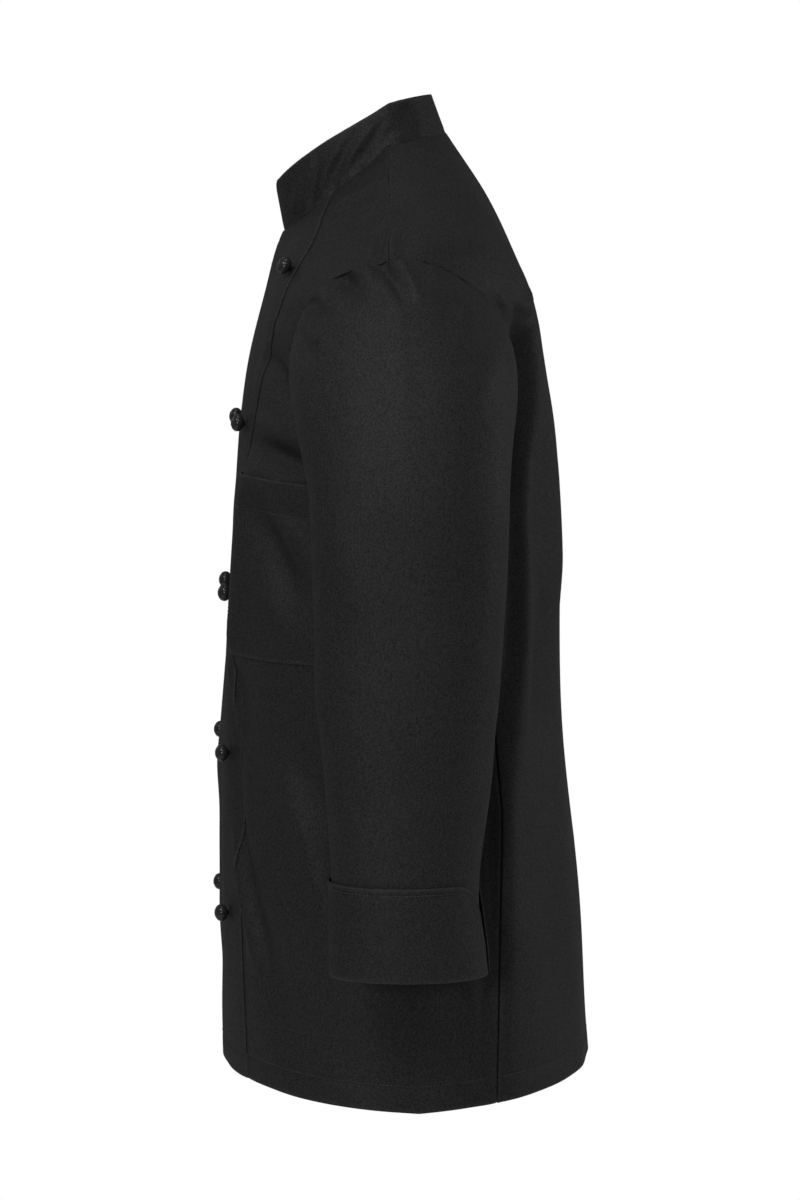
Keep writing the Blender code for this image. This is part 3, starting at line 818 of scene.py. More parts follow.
@dataclass(frozen=True)
class PaleFloorFinish:
    """Plain matt white studio floor.

    Attributes:
        colour: Colour of the paint.
    """

    colour: tuple[float, float, float, float] = (0.93, 0.93, 0.93, 1.0)

    def make(self) -> bpy.types.Material:
        """Build the material."""
        bench = NodeBench("studio_white")
        place = bench.add("ShaderNodeTexCoord").outputs["Object"]
        cloud = bench.noise(place, 1.5, 3.0, 0.5)
        paint = bench.blend_colours(bench.spread(cloud, 0.3, 0.7, 0.0, 0.25), self.colour,
                                    (0.90, 0.90, 0.90, 1.0))
        return bench.surface({"Base Color": paint, "Roughness": 0.9, "Specular IOR Level": 0.0})


@dataclass(frozen=True)
class Finishes:
    """The materials that the jacket's pieces share."""

    cloth: bpy.types.Material
    thread: bpy.types.Material
    plastic: bpy.types.Material


# --- the worn form -----------------------------------------------------------------------------
class Side(Enum):
    """The wearer's two sides, by the sign of X."""

    LEFT = 1
    RIGHT = -1

    @property
    def word(self) -> str:
        """The side's name in lower case."""
        return self.name.lower()


class Held(Enum):
    """How a cut piece is held in the finished jacket."""

    HUNG = "hung"
    FOLDED = "folded"


BODY_CREASES = Crease.rows(
    # left chest, between the lap and the armhole
    ((25, 2.55), (50, 3.45), 0.008, -0.0050, 2, 0.50),
    ((25, 2.95), (52, 4.05), 0.010, -0.0105, 3, 0.60),
    ((33, 3.45), (55, 4.70), 0.009, -0.0090, 3, 0.55),
    ((26, 4.20), (54, 4.95), 0.010, -0.0026, 3, 0.40),
    ((40, 2.30), (47, 3.00), 0.010, 0.0024, 2, 0.30),
    ((21, 4.82), (60, 5.10), 0.011, -0.0115, 0, 0.60, 1.3),
    ((40, 5.22), (62, 5.16), 0.005, 0.0022, 0, 0.50),
    # pocket
    ((30, 5.38), (58, 6.02), 0.015, -0.0080, 2, 0.45, 0.9),
    ((44, 5.40), (60, 5.48), 0.009, -0.0024, 0, 0.30),
    ((32, 5.75), (56, 6.38), 0.018, 0.0052, 2, 0.25),
    # lower left front
    ((15, 6.45), (27, 7.05), 0.008, 0.0052, 2, 0.40),
    ((20, 6.60), (29, 7.75), 0.015, -0.0062, -2, 0.30),
    ((21, 7.45), (37, 8.35), 0.009, 0.0068, 2, 0.50),
    ((44, 6.95), (68, 8.05), 0.016, 0.0072, 4, 0.45),
    ((36, 7.90), (50, 8.85), 0.018, -0.0056, 3, 0.30),
    ((62, 7.60), (84, 8.80), 0.026, 0.0034, 3, 0.30),
    ((88, 7.20), (96, 8.85), 0.024, -0.0030, -2, 0.30),
    # left shoulder
    ((89, 0.60), (70, 1.35), 0.009, 0.0020, -3, 0.60),
    ((91, 1.05), (84, 2.00), 0.0065, -0.0058, -1, 0.80, 1.3),
    ((90, 0.60), (58, 0.38), 0.0060, 0.0036, -2, 0.80),
    ((72, 0.80), (52, 1.10), 0.0080, 0.0014, -2, 0.50),
    ((60, 0.70), (46, 1.60), 0.011, -0.0022, -2, 0.40),
    # back, left half
    ((147, 2.95), (128, 5.40), 0.0140, -0.0185, 1, 0.20, 0.7),
    ((136, 4.20), (116, 7.30), 0.0125, -0.0140, 0, 0.15, 0.8),
    ((114, 6.30), (108, 9.00), 0.0120, -0.0120, 0, 0.20, 0.8),
    ((158, 2.72), (140, 3.35), 0.0070, 0.0036, 0, 0.50),
    ((129, 2.70), (136, 3.20), 0.0060, -0.0032, 0, 0.60),
    ((122, 1.60), (150, 2.70), 0.020, 0.0022, 4, 0.30),
    ((150, 3.60), (158, 6.20), 0.026, 0.0034, -3, 0.35),
    ((133, 5.00), (124, 7.10), 0.024, 0.0036, 4, 0.40),
    ((146, 6.00), (140, 8.60), 0.026, -0.0034, -3, 0.30),
    ((166, 5.20), (163, 7.60), 0.026, -0.0028, 2, 0.25),
    ((128, 7.30), (133, 8.90), 0.024, -0.0026, 2, 0.30),
    # back, right half
    ((-131, 3.0), (-136, 7.6), 0.021, -0.0058, 0, 0.15),
    ((-127, 2.70), (-140, 3.70), 0.013, -0.0028, -3, 0.50),
    ((-120, 1.70), (-147, 2.90), 0.020, 0.0020, -5, 0.30),
    ((-152, 3.40), (-156, 5.80), 0.026, 0.0030, 3, 0.35),
    ((-131, 5.20), (-122, 7.40), 0.023, 0.0038, -4, 0.40),
    ((-148, 6.30), (-143, 8.70), 0.027, -0.0036, 3, 0.30),
    ((-168, 5.60), (-171, 8.10), 0.028, 0.0028, 2, 0.25),
    ((-116, 6.80), (-121, 8.70), 0.022, -0.0026, -2, 0.30),
    # right chest and front
    ((-28, 3.05), (-50, 4.25), 0.013, -0.0032, -3, 0.45),
    ((-24, 3.60), (-51, 4.90), 0.014, -0.0036, -3, 0.40),
    ((-20, 4.90), (-57, 5.15), 0.015, -0.0040, 0, 0.50, 1.2),
    ((-34, 5.35), (-60, 6.05), 0.019, -0.0040, -2, 0.40),
    ((-28, 5.80), (-55, 6.60), 0.021, 0.0036, -3, 0.25),
    ((-14, 6.50), (-24, 7.55), 0.018, 0.0030, -2, 0.30),
    ((-30, 6.90), (-42, 8.30), 0.020, -0.0034, -3, 0.35),
    ((-46, 6.80), (-66, 8.10), 0.024, 0.0042, -4, 0.35),
    ((-64, 7.80), (-80, 8.85), 0.025, -0.0030, 3, 0.30),
    ((-88, 0.70), (-72, 1.50), 0.010, 0.0018, 3, 0.50),
    ((-86, 1.15), (-76, 2.00), 0.011, 0.0020, 2, 0.55),
    ((-62, 0.60), (-47, 1.70), 0.012, -0.0018, 2, 0.30),
    # soft pulls between the buttons
    ((4, 3.90), (30, 3.60), 0.020, 0.0016, 0, 0.30),
    ((-6, 5.60), (-26, 5.30), 0.022, 0.0016, 0, 0.30),
    ((8, 7.10), (-16, 7.35), 0.024, 0.0018, 0, 0.30),
    ((-10, 8.30), (14, 8.60), 0.024, -0.0016, 0, 0.30),
)


class BodyForm:
    """The draped body: rings, soft folds and creases, with every panel's edges."""

    drape = Unevenness(seed=11, amplitude=0.0007, shortest=0.05, longest=0.17, upright=3.5)

    def __init__(self) -> None:
        """Read the tables."""
        self.rings = np.array(BODY_RINGS)
        self.buttons = np.array([self.bare(side.value * angle, row)
                                 for side in Side for row, angle in self.button_marks()])

    def bare(self, angle: Array, row: Array) -> Array:
        """Points of the body with no folds.

        Args:
            angle: Degrees from the centre front, by the left side.
            row: Fractional ring.

        Returns:
            Points, with X, Y and Z last.
        """
        angle, row = pair(angle, row)
        front_y, front_z, side_x, side_y, side_z, back_y, back_z, square = np.moveaxis(
            read_smooth(self.rings, row), -1, 0)
        sine, cosine = np.sin(np.radians(angle)), np.cos(np.radians(angle))
        across = np.sign(sine) * np.abs(sine) ** (2 / square)
        along = np.abs(cosine) ** (2 / square)
        end_y = np.where(cosine >= 0, front_y, back_y)
        end_z = np.where(cosine >= 0, front_z, back_z)
        return np.stack([side_x * across, side_y + (end_y - side_y) * along,
                         side_z + (end_z - side_z) * along], axis=-1)

    def normal(self, angle: Array, row: Array) -> Array:
        """Outward directions of the bare body."""
        angle, row = pair(angle, row)
        low, high = np.maximum(row - 0.02, 0.0), np.minimum(row + 0.02, HEM_ROW)
        around = self.bare(angle + 0.5, row) - self.bare(angle - 0.5, row)
        down = self.bare(angle, high) - self.bare(angle, low)
        return unit(np.cross(down, around))

    def folds(self, angle: Array, height: Array) -> Array:
        """Sum of the large folds that the solids have too."""
        signed = np.where(angle > 180, angle - 360, angle)
        place = np.stack([np.radians(signed) * ARC_RADIUS, height], axis=-1)
        total = np.zeros(place.shape[:-1])
        for angle_1, height_1, angle_2, height_2, reach, lift in BODY_FOLDS:
            start = np.array([math.radians(angle_1) * ARC_RADIUS, height_1])
            line = np.array([math.radians(angle_2) * ARC_RADIUS, height_2]) - start
            share = np.clip((place - start) @ line / (line @ line), 0.0, 1.0)
            distance = np.linalg.norm(place - start - share[..., None] * line, axis=-1)
            total += lift * bell(distance, reach)
        return total

    def dressed(self, angle: Array, row: Array, lift: Array = 0.0) -> Array:
        """Points of the draped cloth's outer face.

        Args:
            angle: Degrees from the centre front.
            row: Fractional ring.
            lift: Extra distance out from the body.

        Returns:
            Points, with X, Y and Z last.
        """
        angle, row = pair(angle, row)
        points, outward = self.bare(angle, row), self.normal(angle, row)
        soft = self.drape.lift_at(points)
        for crease in BODY_CREASES:
            soft = soft + crease.lift_at(points, outward, self.bare)
        calm = np.ones(points.shape[:-1])
        for button in self.buttons:
            calm *= 1 - bell(np.linalg.norm(points - button, axis=-1), 0.020)
        total = lift + self.folds(angle, points[..., 2]) + soft * calm
        return points + outward * total[..., None]

    def angle_at_x(self, x: Array, row: Array) -> Array:
        """Angle at which the front of a ring is x from the centre front."""
        ring = read_smooth(self.rings, row)
        return np.degrees(np.arcsin(np.clip(x / ring[..., 2], 0, 1) ** (ring[..., 7] / 2)))

    def outer_edge(self, step: Array, armhole: Sequence[tuple[float, float]]) -> Array:
        """Angle and row of a panel's outer edge: shoulder, armhole, then side seam."""
        shoulder = np.stack([np.full(step.shape, 90.0), SHOULDER_ROW * step / SHOULDER_STEPS], -1)
        hole = read_smooth(armhole, step - SHOULDER_STEPS)
        side = read_smooth(SIDE_SEAM, (step - ARMPIT_STEP) / SIDE_STEPS * (len(SIDE_SEAM) - 1))
        upper = np.where((step <= SHOULDER_STEPS)[..., None], shoulder, hole)
        return np.where((step <= ARMPIT_STEP)[..., None], upper, side)

    def centre_row(self, step: Array) -> Array:
        """Row of the same cloth line at the centre front or back."""
        below = ARMPIT_ROW + (HEM_ROW - ARMPIT_ROW) * (step - ARMPIT_STEP) / SIDE_STEPS
        return np.where(step <= ARMPIT_STEP, read_smooth(CENTRE_ROWS, step), below)

    def front_place(self, step: Array, across: Array) -> tuple[Array, Array]:
        """Angle and row on a front; across runs from the free edge at -1 to the seams at 2."""
        step, across = pair(step, across)
        inner_row = self.centre_row(step)
        edge = self.angle_at_x(read_smooth(LAP_EDGE_X, inner_row), inner_row)
        share = np.clip(across - 1, 0.0, 1.0)
        outer = self.outer_edge(step, ARMHOLE_FRONT)
        angle = np.where(across <= 1, edge * across, edge + (outer[..., 0] - edge) * share)
        return angle, inner_row + (outer[..., 1] - inner_row) * share ** 2

    def back_place(self, step: Array, across: Array) -> tuple[Array, Array]:
        """Angle and row on the back; across runs from the left side seam at -1 to 1."""
        step, across = pair(step, across)
        outer = self.outer_edge(step, ARMHOLE_BACK)
        middle = self.centre_row(step)
        angle = 180 + (180 - outer[..., 0]) * across
        return angle, middle + (outer[..., 1] - middle) * across ** 2

    def row_where(self, height: float, angle_at: Callable[[float], float], low: float) -> float:
        """Row at which the cloth is at a height, by halving."""
        high = HEM_ROW
        for _ in range(30):
            middle = (low + high) / 2
            if self.bare(angle_at(middle), middle)[2] > height:
                low = middle
            else:
                high = middle
        return low

    def button_marks(self) -> list[tuple[float, float]]:
        """Row and angle of each button on the left side, from the top."""
        marks = []
        for height, x in BUTTON_ROWS:
            row = self.row_where(height, lambda level, x=x: self.angle_at_x(x, level), 0.3)
            marks.append((row, float(self.angle_at_x(x, row))))
        return marks


# --- body panels -------------------------------------------------------------------------------
@dataclass
class BodyPanels:
    """The two fronts and the back.

    Attributes:
        body: The draped form.
        finishes: Materials of the jacket.
        spacing: Distance between the lines of the meshes.
        free_edge_wave: How far the upper front's free edge stands off in places.
        free_edge_drop: How far that edge comes down towards the front under it.
        neck_tuck: How far the laps sink beside the neck seam, under the collar.
        front_flat: Width and length that a front is cut to; not used.
        back_flat: Width and length that the back is cut to; not used.
        front_area: Flat area of a front; not used.
        back_area: Flat area of the back; not used.
    """

    body: BodyForm
    finishes: Finishes
    spacing: float = SPACING
    free_edge_wave: float = 0.0002
    free_edge_drop: float = 0.0012
    neck_tuck: float = 0.0011
    front_flat: tuple[float, float] = (0.503, 0.815)
    back_flat: tuple[float, float] = (0.553, 0.810)
    front_area: float = 0.329
    back_area: float = 0.365

    def _steps(self, line: Callable[[Array], Array]) -> Array:
        """Rows from the neck to the hem, closer at the hem, its stitches and the neck."""
        return stations(line, (0, SHOULDER_STEPS, ARMPIT_STEP, HEM_STEP), self.spacing,
                        ((0.0, 0.0004, 0.002), (0.0, 0.0022, 0.010), (HEM_STEP, 0.0015, 0.004),
                         (HEM_LINE_STEP, 0.0009, 0.003)))

    def _wall(self, grid: ClothGrid) -> Array:
        """Thickness of a panel, doubled where the hem is turned up."""
        above_hem = grid.above_end()
        return WALL + (HEM_WALL - WALL) * ease((HEM_DEPTH + 0.0015 - above_hem) / 0.003)

    def _hem_shape(self, grid: ClothGrid, seed: int) -> Array:
        """Lift of the cloth over the turned-up hem, its stitches and their puckers."""
        above_hem, widths = grid.above_end(), grid.widths()
        roll = 0.0003 * ease((HEM_DEPTH - above_hem) / 0.006)
        groove = -0.00035 * bell(above_hem - HEM_DEPTH, 0.0013)
        return roll + groove + puckers(widths, above_hem - HEM_DEPTH, 0.00035, 0.009, seed)

    def _seam(self, distance: Array, steps: Array) -> Array:
        """Turned-in outer edge, deeper down the side and raised beside the armhole."""
        side = ease(steps - ARMPIT_STEP)[:, None]
        armhole = (ease(steps - SHOULDER_STEPS) * (1 - ease(steps - ARMPIT_STEP + 1)))[:, None]
        return (seam_turn(distance) * (1 - side)
                + seam_turn(distance, SIDE_ROUND, SIDE_DEPTH) * side
                + 0.0006 * bell(distance - 0.0045, 0.0035) * armhole)

    def _wear(self, grid: ClothGrid) -> Array:
        """Lightening along the edges and hem of a panel: part rubbing, part painted highlight."""
        hem = bell(grid.above_end(), 0.0014)
        return np.maximum(hem, 0.5 * np.maximum(bell(grid.widths(), 0.0012),
                                                bell(grid.from_end(), 0.0012)))

    def make_front(self, side: Side) -> bpy.types.Object:
        """Build one front with its buttonholes, hem and seams."""
        body = self.body
        steps = self._steps(lambda step: body.bare(*body.front_place(step, 1.3)))
        across = stations(lambda share: body.bare(*body.front_place(MEASURED_STEP, share)),
                          (-1, 1, 2), self.spacing,
                          ((-1, 0.0012, 0.004), (2, 0.0004, 0.002), (2, 0.0022, 0.010)))
        angle, row = body.front_place(steps[:, None], across[None, :])
        lap = 1 - ease((across[None, :] - 1) / LAP_EASE)
        lift = -self.neck_tuck * bell(row, 0.35) * lap
        if side is Side.RIGHT:
            free = bell(across[None, :] + 1, 0.08)
            flutter = 0.5 + 0.5 * np.sin(row * 5.1 + 0.6) * np.sin(row * 1.7 + 2.0)
            lift = lift + LAP_LIFT * lap
            lift = lift + (self.free_edge_wave * flutter - self.free_edge_drop) * free
        points = body.dressed(side.value * angle, row, lift)
        if side is Side.RIGHT:
            points = points[:, ::-1]
        grid = ClothGrid(points)
        widths, depths = grid.widths(), grid.depths()
        edges = (grid.from_end(), widths)
        seam, free_side = edges if side is Side.LEFT else edges[::-1]
        along = depths[:, -1:] if side is Side.LEFT else depths[:, :1]
        shape = (self._hem_shape(grid, 5 + side.value) + self._seam(seam, steps)
                 + NECK_SHARE * seam_turn(depths)
                 + puckers(along, seam, 0.0004, 0.010, 21 + side.value)
                 + puckers(widths, depths, 0.0006, 0.014, 31 + side.value))
        name = f"front_{side.word}"
        # Lightened along the edges and in full along the free edge: part rubbing, chiefly a painted
        # highlight where the lap's edge catches light.
        wear = np.maximum(self._wear(grid), bell(free_side, 0.0017))
        sewer = ShellSewer(f"{name}_cloth", grid.moved(shape), self._wall(grid), wear)
        piece = sewer.make(self.finishes.cloth)
        self._cut_buttonholes(piece)
        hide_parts(name)
        return piece

    def make_back(self) -> bpy.types.Object:
        """Build the back with its hem and seams."""
        body = self.body
        steps = self._steps(lambda step: body.bare(*body.back_place(step, 0.45)))
        across = stations(lambda share: body.bare(*body.back_place(MEASURED_STEP, share)), (-1, 1),
                          self.spacing, ((-1, 0.0004, 0.002), (1, 0.0004, 0.002),
                                         (-1, 0.0022, 0.010), (1, 0.0022, 0.010)))
        angle, row = body.back_place(steps[:, None], across[None, :])
        grid = ClothGrid(body.dressed(angle, row))
        widths, depths, from_end = grid.widths(), grid.depths(), grid.from_end()
        shape = (self._hem_shape(grid, 9) + self._seam(widths, steps)
                 + self._seam(from_end, steps) + NECK_SHARE * seam_turn(depths)
                 + puckers(depths[:, :1], widths, 0.0004, 0.010, 41)
                 + puckers(depths[:, -1:], from_end, 0.0004, 0.010, 43)
                 + puckers(widths, depths, 0.0003, 0.010, 47))
        sewer = ShellSewer("back_cloth", grid.moved(shape), self._wall(grid), self._wear(grid))
        piece = sewer.make(self.finishes.cloth)
        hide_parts("back")
        return piece

    def _cut_buttonholes(self, piece: bpy.types.Object) -> None:
        """Open a round eye through the cloth for each shank."""
        spots = []
        for side in Side:
            for row, angle in self.body.button_marks():
                signed = side.value * angle
                spots.append((self.body.dressed(signed, row), self.body.normal(signed, row)))
        sides, half = 16, 0.012
        verts, faces = [], []
        for place, outward in spots:
            turn = np.array(Vector(outward).to_track_quat("Z", "Y").to_matrix())
            base = len(verts)
            for level in (-half, half):
                for side in range(sides):
                    around = 2 * math.pi * side / sides
                    local = (HOLE_RADIUS * math.cos(around), HOLE_RADIUS * math.sin(around), level)
                    verts.append(place + turn @ np.array(local))
            ring = list(range(sides))
            faces.append([base + index for index in reversed(ring)])
            faces.append([base + sides + index for index in ring])
            for index in ring:
                after = (index + 1) % sides
                faces.append([base + index, base + after, base + sides + after,
                              base + sides + index])
        punch = add_object("buttonhole_punch", make_mesh("buttonhole_punch", verts, faces))
        cut = piece.modifiers.new("Buttonholes", "BOOLEAN")
        cut.operation, cut.object, cut.solver = "DIFFERENCE", punch, "MANIFOLD"
        seen = bpy.context.evaluated_depsgraph_get()
        made = bpy.data.meshes.new_from_object(piece.evaluated_get(seen), depsgraph=seen)
        made.name = piece.name
        piece.modifiers.clear()
        piece.data = made
        bpy.data.objects.remove(punch)

    def _line(self, angle: Array, row: Array, lift: Array) -> tuple[Array, Array]:
        """Points and outward directions of a line over the draped cloth."""
        return self.body.dressed(angle, row, lift), self.body.normal(angle, row)

    def sew_hem(self, name: str, side: Side | None) -> bpy.types.Object:
        """Row of hem stitches on one panel; no side means the back."""
        step = np.full(500, HEM_STITCH_STEP)
        if side is None:
            angle, row = self.body.back_place(step, np.linspace(-0.995, 0.995, 500))
            lift = np.zeros(500)
        else:
            across = np.linspace(-0.985, 1.993, 500)
            angle, row = self.body.front_place(step, across)
            lap = 1 - ease((across - 1) / LAP_EASE)
            lift = LAP_LIFT * lap if side is Side.RIGHT else np.zeros(500)
            angle = side.value * angle
        sewing = Sewing(name)
        sewing.row(*self._line(angle, row, lift))
        return sewing.make(self.finishes.thread)

    def sew_buttonholes(self, side: Side) -> bpy.types.Object:
        """Worked keyhole edges round the five eyes on one side of the upper front."""
        sewing = Sewing(f"buttonhole_thread_{side.word}", Stitch(0.0022, 0.0005, 0.00048, 0.0003))
        eye, slit = 0.0031, 0.0125
        for row, angle in self.body.button_marks():
            signed = side.value * angle
            centre, outward = self._line(signed, row, LAP_LIFT)
            level = unit(np.cross([0.0, 0.0, 1.0], outward)) * -side.value
            upright = np.cross(outward, level)
            turns = np.linspace(math.radians(32), math.radians(328), 26)
            ring = level * np.cos(turns)[:, None] + upright * np.sin(turns)[:, None]
            self._lay(sewing, centre + ring * eye, ring, signed, row)
            legs = np.linspace(eye * 0.95, slit, 20)[:, None]
            for edge in (1, -1):
                spots = centre + level * legs + upright * edge * 0.00125
                self._lay(sewing, spots, np.broadcast_to(upright, spots.shape), signed, row)
            bar = np.linspace(-0.0018, 0.0018, 8)[:, None]
            spots = centre + level * (slit + 0.0006) + upright * bar
            self._lay(sewing, spots, np.broadcast_to(level, spots.shape), signed, row)
        return sewing.make(self.finishes.thread)

    def _lay(self, sewing: Sewing, spots: Array, along: Array, angle: float, row: float) -> None:
        """Drop stitches near a buttonhole on to the curved cloth.

        Args:
            sewing: Where they are collected.
            spots: Points near the cloth.
            along: Direction of each stitch.
            angle: Angle of the button.
            row: Row of the button.
        """
        near_angle = angle + np.linspace(-8, 8, 33)[:, None]
        near_row = row + np.linspace(-0.12, 0.12, 13)[None, :]
        cloth = self.body.dressed(near_angle, near_row, LAP_LIFT)
        outward = self.body.normal(near_angle, near_row)
        flat, up = cloth.reshape(-1, 3), outward.reshape(-1, 3)
        nearest = np.argmin(np.linalg.norm(spots[:, None] - flat[None], axis=-1), axis=1)
        away = np.sum((spots - flat[nearest]) * up[nearest], axis=-1, keepdims=True)
        sewing.place(spots - up[nearest] * away, along, up[nearest], sink=0.0)

    def make(self) -> None:
        for side in (Side.LEFT, Side.RIGHT):
            piece = self.make_front(side)
            threads = [self.sew_hem(f"hem_thread_front_{side.word}", side)]
            if side is Side.RIGHT:
                threads += [self.sew_buttonholes(half) for half in Side]
        piece = self.make_back()
        self.sew_hem("hem_thread_back", None)


# --- sleeves and cuffs -------------------------------------------------------------------------
SLEEVE_CREASES = {
    Side.LEFT: Crease.rows(
        # under the cap seam
        ((1.85, -0.06), (0.75, 0.20), 0.0080, -0.0090, 0, 0.6, 0.7),
        ((0.35, -0.08), (-0.35, 0.24), 0.0065, -0.0080, 0, 0.7, 0.7),
        ((3.20, 0.00), (1.75, 0.28), 0.0070, -0.0085, 0, 0.6, 0.8),
        ((3.70, 0.10), (2.30, 0.42), 0.0080, -0.0055, 0, 0.6),
        ((2.60, -0.04), (2.00, 0.16), 0.0060, -0.0026, 0, 0.6),
        ((14.2, 0.10), (14.9, 0.38), 0.012, -0.0018, 0, 0.4),
        ((12.9, 0.30), (14.3, 0.62), 0.013, 0.0022, 0, 0.4),
        # upper arm and elbow
        ((2.60, 0.95), (0.60, 1.22), 0.020, 0.0018, 0, 0.4),
        ((3.40, 1.10), (1.00, 1.34), 0.018, -0.0020, 0, 0.4),
        ((13.0, 1.10), (15.2, 1.36), 0.022, 0.0020, 0, 0.4),
        ((4.60, 1.30), (2.20, 1.52), 0.018, 0.0022, 0, 0.4),
        ((12.2, 1.42), (14.6, 1.62), 0.018, -0.0018, 0, 0.4),
        ((3.20, 1.58), (1.40, 1.74), 0.016, 0.0014, 0, 0.4),
        # inner side
        ((6.20, 0.80), (7.60, 1.30), 0.018, -0.0026, 0, 0.4),
        ((9.60, 0.90), (8.40, 1.40), 0.018, 0.0026, 0, 0.4),
        ((6.60, 1.45), (9.40, 1.60), 0.016, -0.0022, 0, 0.4),
    ),
    Side.RIGHT: Crease.rows(
        ((1.20, 0.03), (0.70, 0.28), 0.010, -0.0024, 0, 0.5, 0.7),
        ((15.6, 0.02), (15.3, 0.30), 0.010, -0.0018, 0, 0.5, 0.7),
        ((2.80, 0.08), (1.50, 0.30), 0.009, -0.0024, 0, 0.6),
        ((13.9, 0.12), (14.8, 0.42), 0.013, -0.0022, 0, 0.4),
        ((3.60, 0.90), (1.40, 1.16), 0.020, 0.0022, 0, 0.4),
        ((12.8, 1.00), (14.8, 1.30), 0.021, -0.0022, 0, 0.4),
        ((4.40, 1.22), (1.80, 1.46), 0.019, -0.0024, 0, 0.4),
        ((12.4, 1.34), (15.0, 1.56), 0.020, 0.0020, 0, 0.4),
        ((3.80, 1.50), (1.60, 1.70), 0.016, 0.0018, 0, 0.4),
        ((6.40, 0.85), (7.80, 1.36), 0.018, 0.0024, 0, 0.4),
        ((9.80, 1.00), (8.20, 1.50), 0.018, -0.0026, 0, 0.4),
    ),
}


class SleeveForm:
    """One draped sleeve, worked out on the left side and mirrored for the right."""

    tube_top = SLEEVE_RINGS[0][0]
    tube_bottom = SLEEVE_RINGS[-1][0]
    drape = Unevenness(seed=23, amplitude=0.0006, shortest=0.05, longest=0.15, upright=2.5)

    def __init__(self, body: BodyForm, side: Side) -> None:
        """Keep the body it is set into and its side."""
        self.body = body
        self.side = side
        self.rings = np.array(SLEEVE_RINGS)

    def ring_point(self, turn: Array, height: Array, stand_off: Array = 0.0,
                   flare: Array = 0.0) -> Array:
        """Points on the tube below the cap; turn 0 faces out, 4 forward, 8 in, 12 back."""
        turn, height = pair(turn, height)
        heights = self.rings[:, 0]
        position = np.interp(-height, -heights, np.arange(len(heights)))
        _, centre_x, centre_y, half_x, half_y = np.moveaxis(
            read_smooth(self.rings, position), -1, 0)
        angle = turn * 2 * np.pi / TURNS
        across = np.sign(np.cos(angle)) * np.abs(np.cos(angle)) ** (2 / SLEEVE_SQUARE)
        along = np.sign(np.sin(angle)) * np.abs(np.sin(angle)) ** (2 / SLEEVE_SQUARE)
        rear = flare * np.maximum(-along, 0.0) ** 2
        return np.stack([centre_x + (half_x + stand_off) * across,
                         centre_y - (half_y + stand_off) * along + rear, height], axis=-1)

    def armhole(self, turn: Array, draped: bool) -> Array:
        """Points of the armhole, with the body's folds where draped."""
        turn = np.mod(turn, TURNS)
        front = read_smooth(ARMHOLE_FRONT, turn)
        back = read_smooth(ARMHOLE_BACK, TURNS - turn)
        place = np.where((turn <= ARMHOLE_STEPS)[..., None], front, back)
        angle = place[..., 0] * self.side.value
        points = (self.body.dressed if draped else self.body.bare)(angle, place[..., 1])
        return points * (self.side.value, 1.0, 1.0)

    def cap(self, turn: Array, share: Array, draped: bool) -> Array:
        """Points of the cap between the armhole and the tube."""
        turn, share = pair(turn, share)
        start = self.armhole(turn, draped)
        end = self.ring_point(turn, self.tube_top)
        reach = np.linalg.norm(end - start, axis=-1, keepdims=True) * CAP_PULL
        swell = -CAP_BULGE * np.sin(turn * 2 * np.pi / TURNS)
        leave = unit(np.array(CAP_OUT) + np.stack([0 * swell, swell, 0 * swell], axis=-1))
        fall = np.concatenate([np.zeros(reach.shape[:-1] + (2,)), -reach], axis=-1)
        return hermite(start + leave * SLEEVE_START, leave * reach, end, fall, share[..., None])

    def bare(self, turn: Array, level: Array, draped: bool = False) -> Array:
        """Points with no creases; level 0 is the armhole, 1 the tube's top and 2 the wrist."""
        turn, level = pair(turn, level)
        height = self.tube_top + (self.tube_bottom - self.tube_top) * np.maximum(level - 1, 0.0)
        tube = self.ring_point(turn, height)
        cap = self.cap(turn, np.minimum(level, 1.0), draped)
        return np.where((level <= 1)[..., None], cap, tube)

    def soft(self, turn: Array, level: Array) -> Array:
        """Heights of the creases and the drape at places on the sleeve."""
        turn, level = pair(turn, level)
        points = self.bare(turn, level)
        around = self.bare(turn - 0.05, level) - self.bare(turn + 0.05, level)
        down = self.bare(turn, np.minimum(level + 0.01, 2.0)) - self.bare(turn, level - 0.01)
        outward = unit(np.cross(down, around))
        total = self.drape.lift_at(points * (1.0, self.side.value, 1.0))
        for crease in SLEEVE_CREASES[self.side]:
            total = total + crease.lift_at(points, outward, self.bare)
        return total

    def level_at(self, height: Array) -> Array:
        """Level of a height on the tube."""
        return 1 + (height - self.tube_top) / (self.tube_bottom - self.tube_top)

    def put_on_side(self, points: Array) -> Array:
        """Points as they lie on this sleeve's own side, with columns that still face out."""
        return points if self.side is Side.LEFT else points[:, ::-1] * (-1.0, 1.0, 1.0)


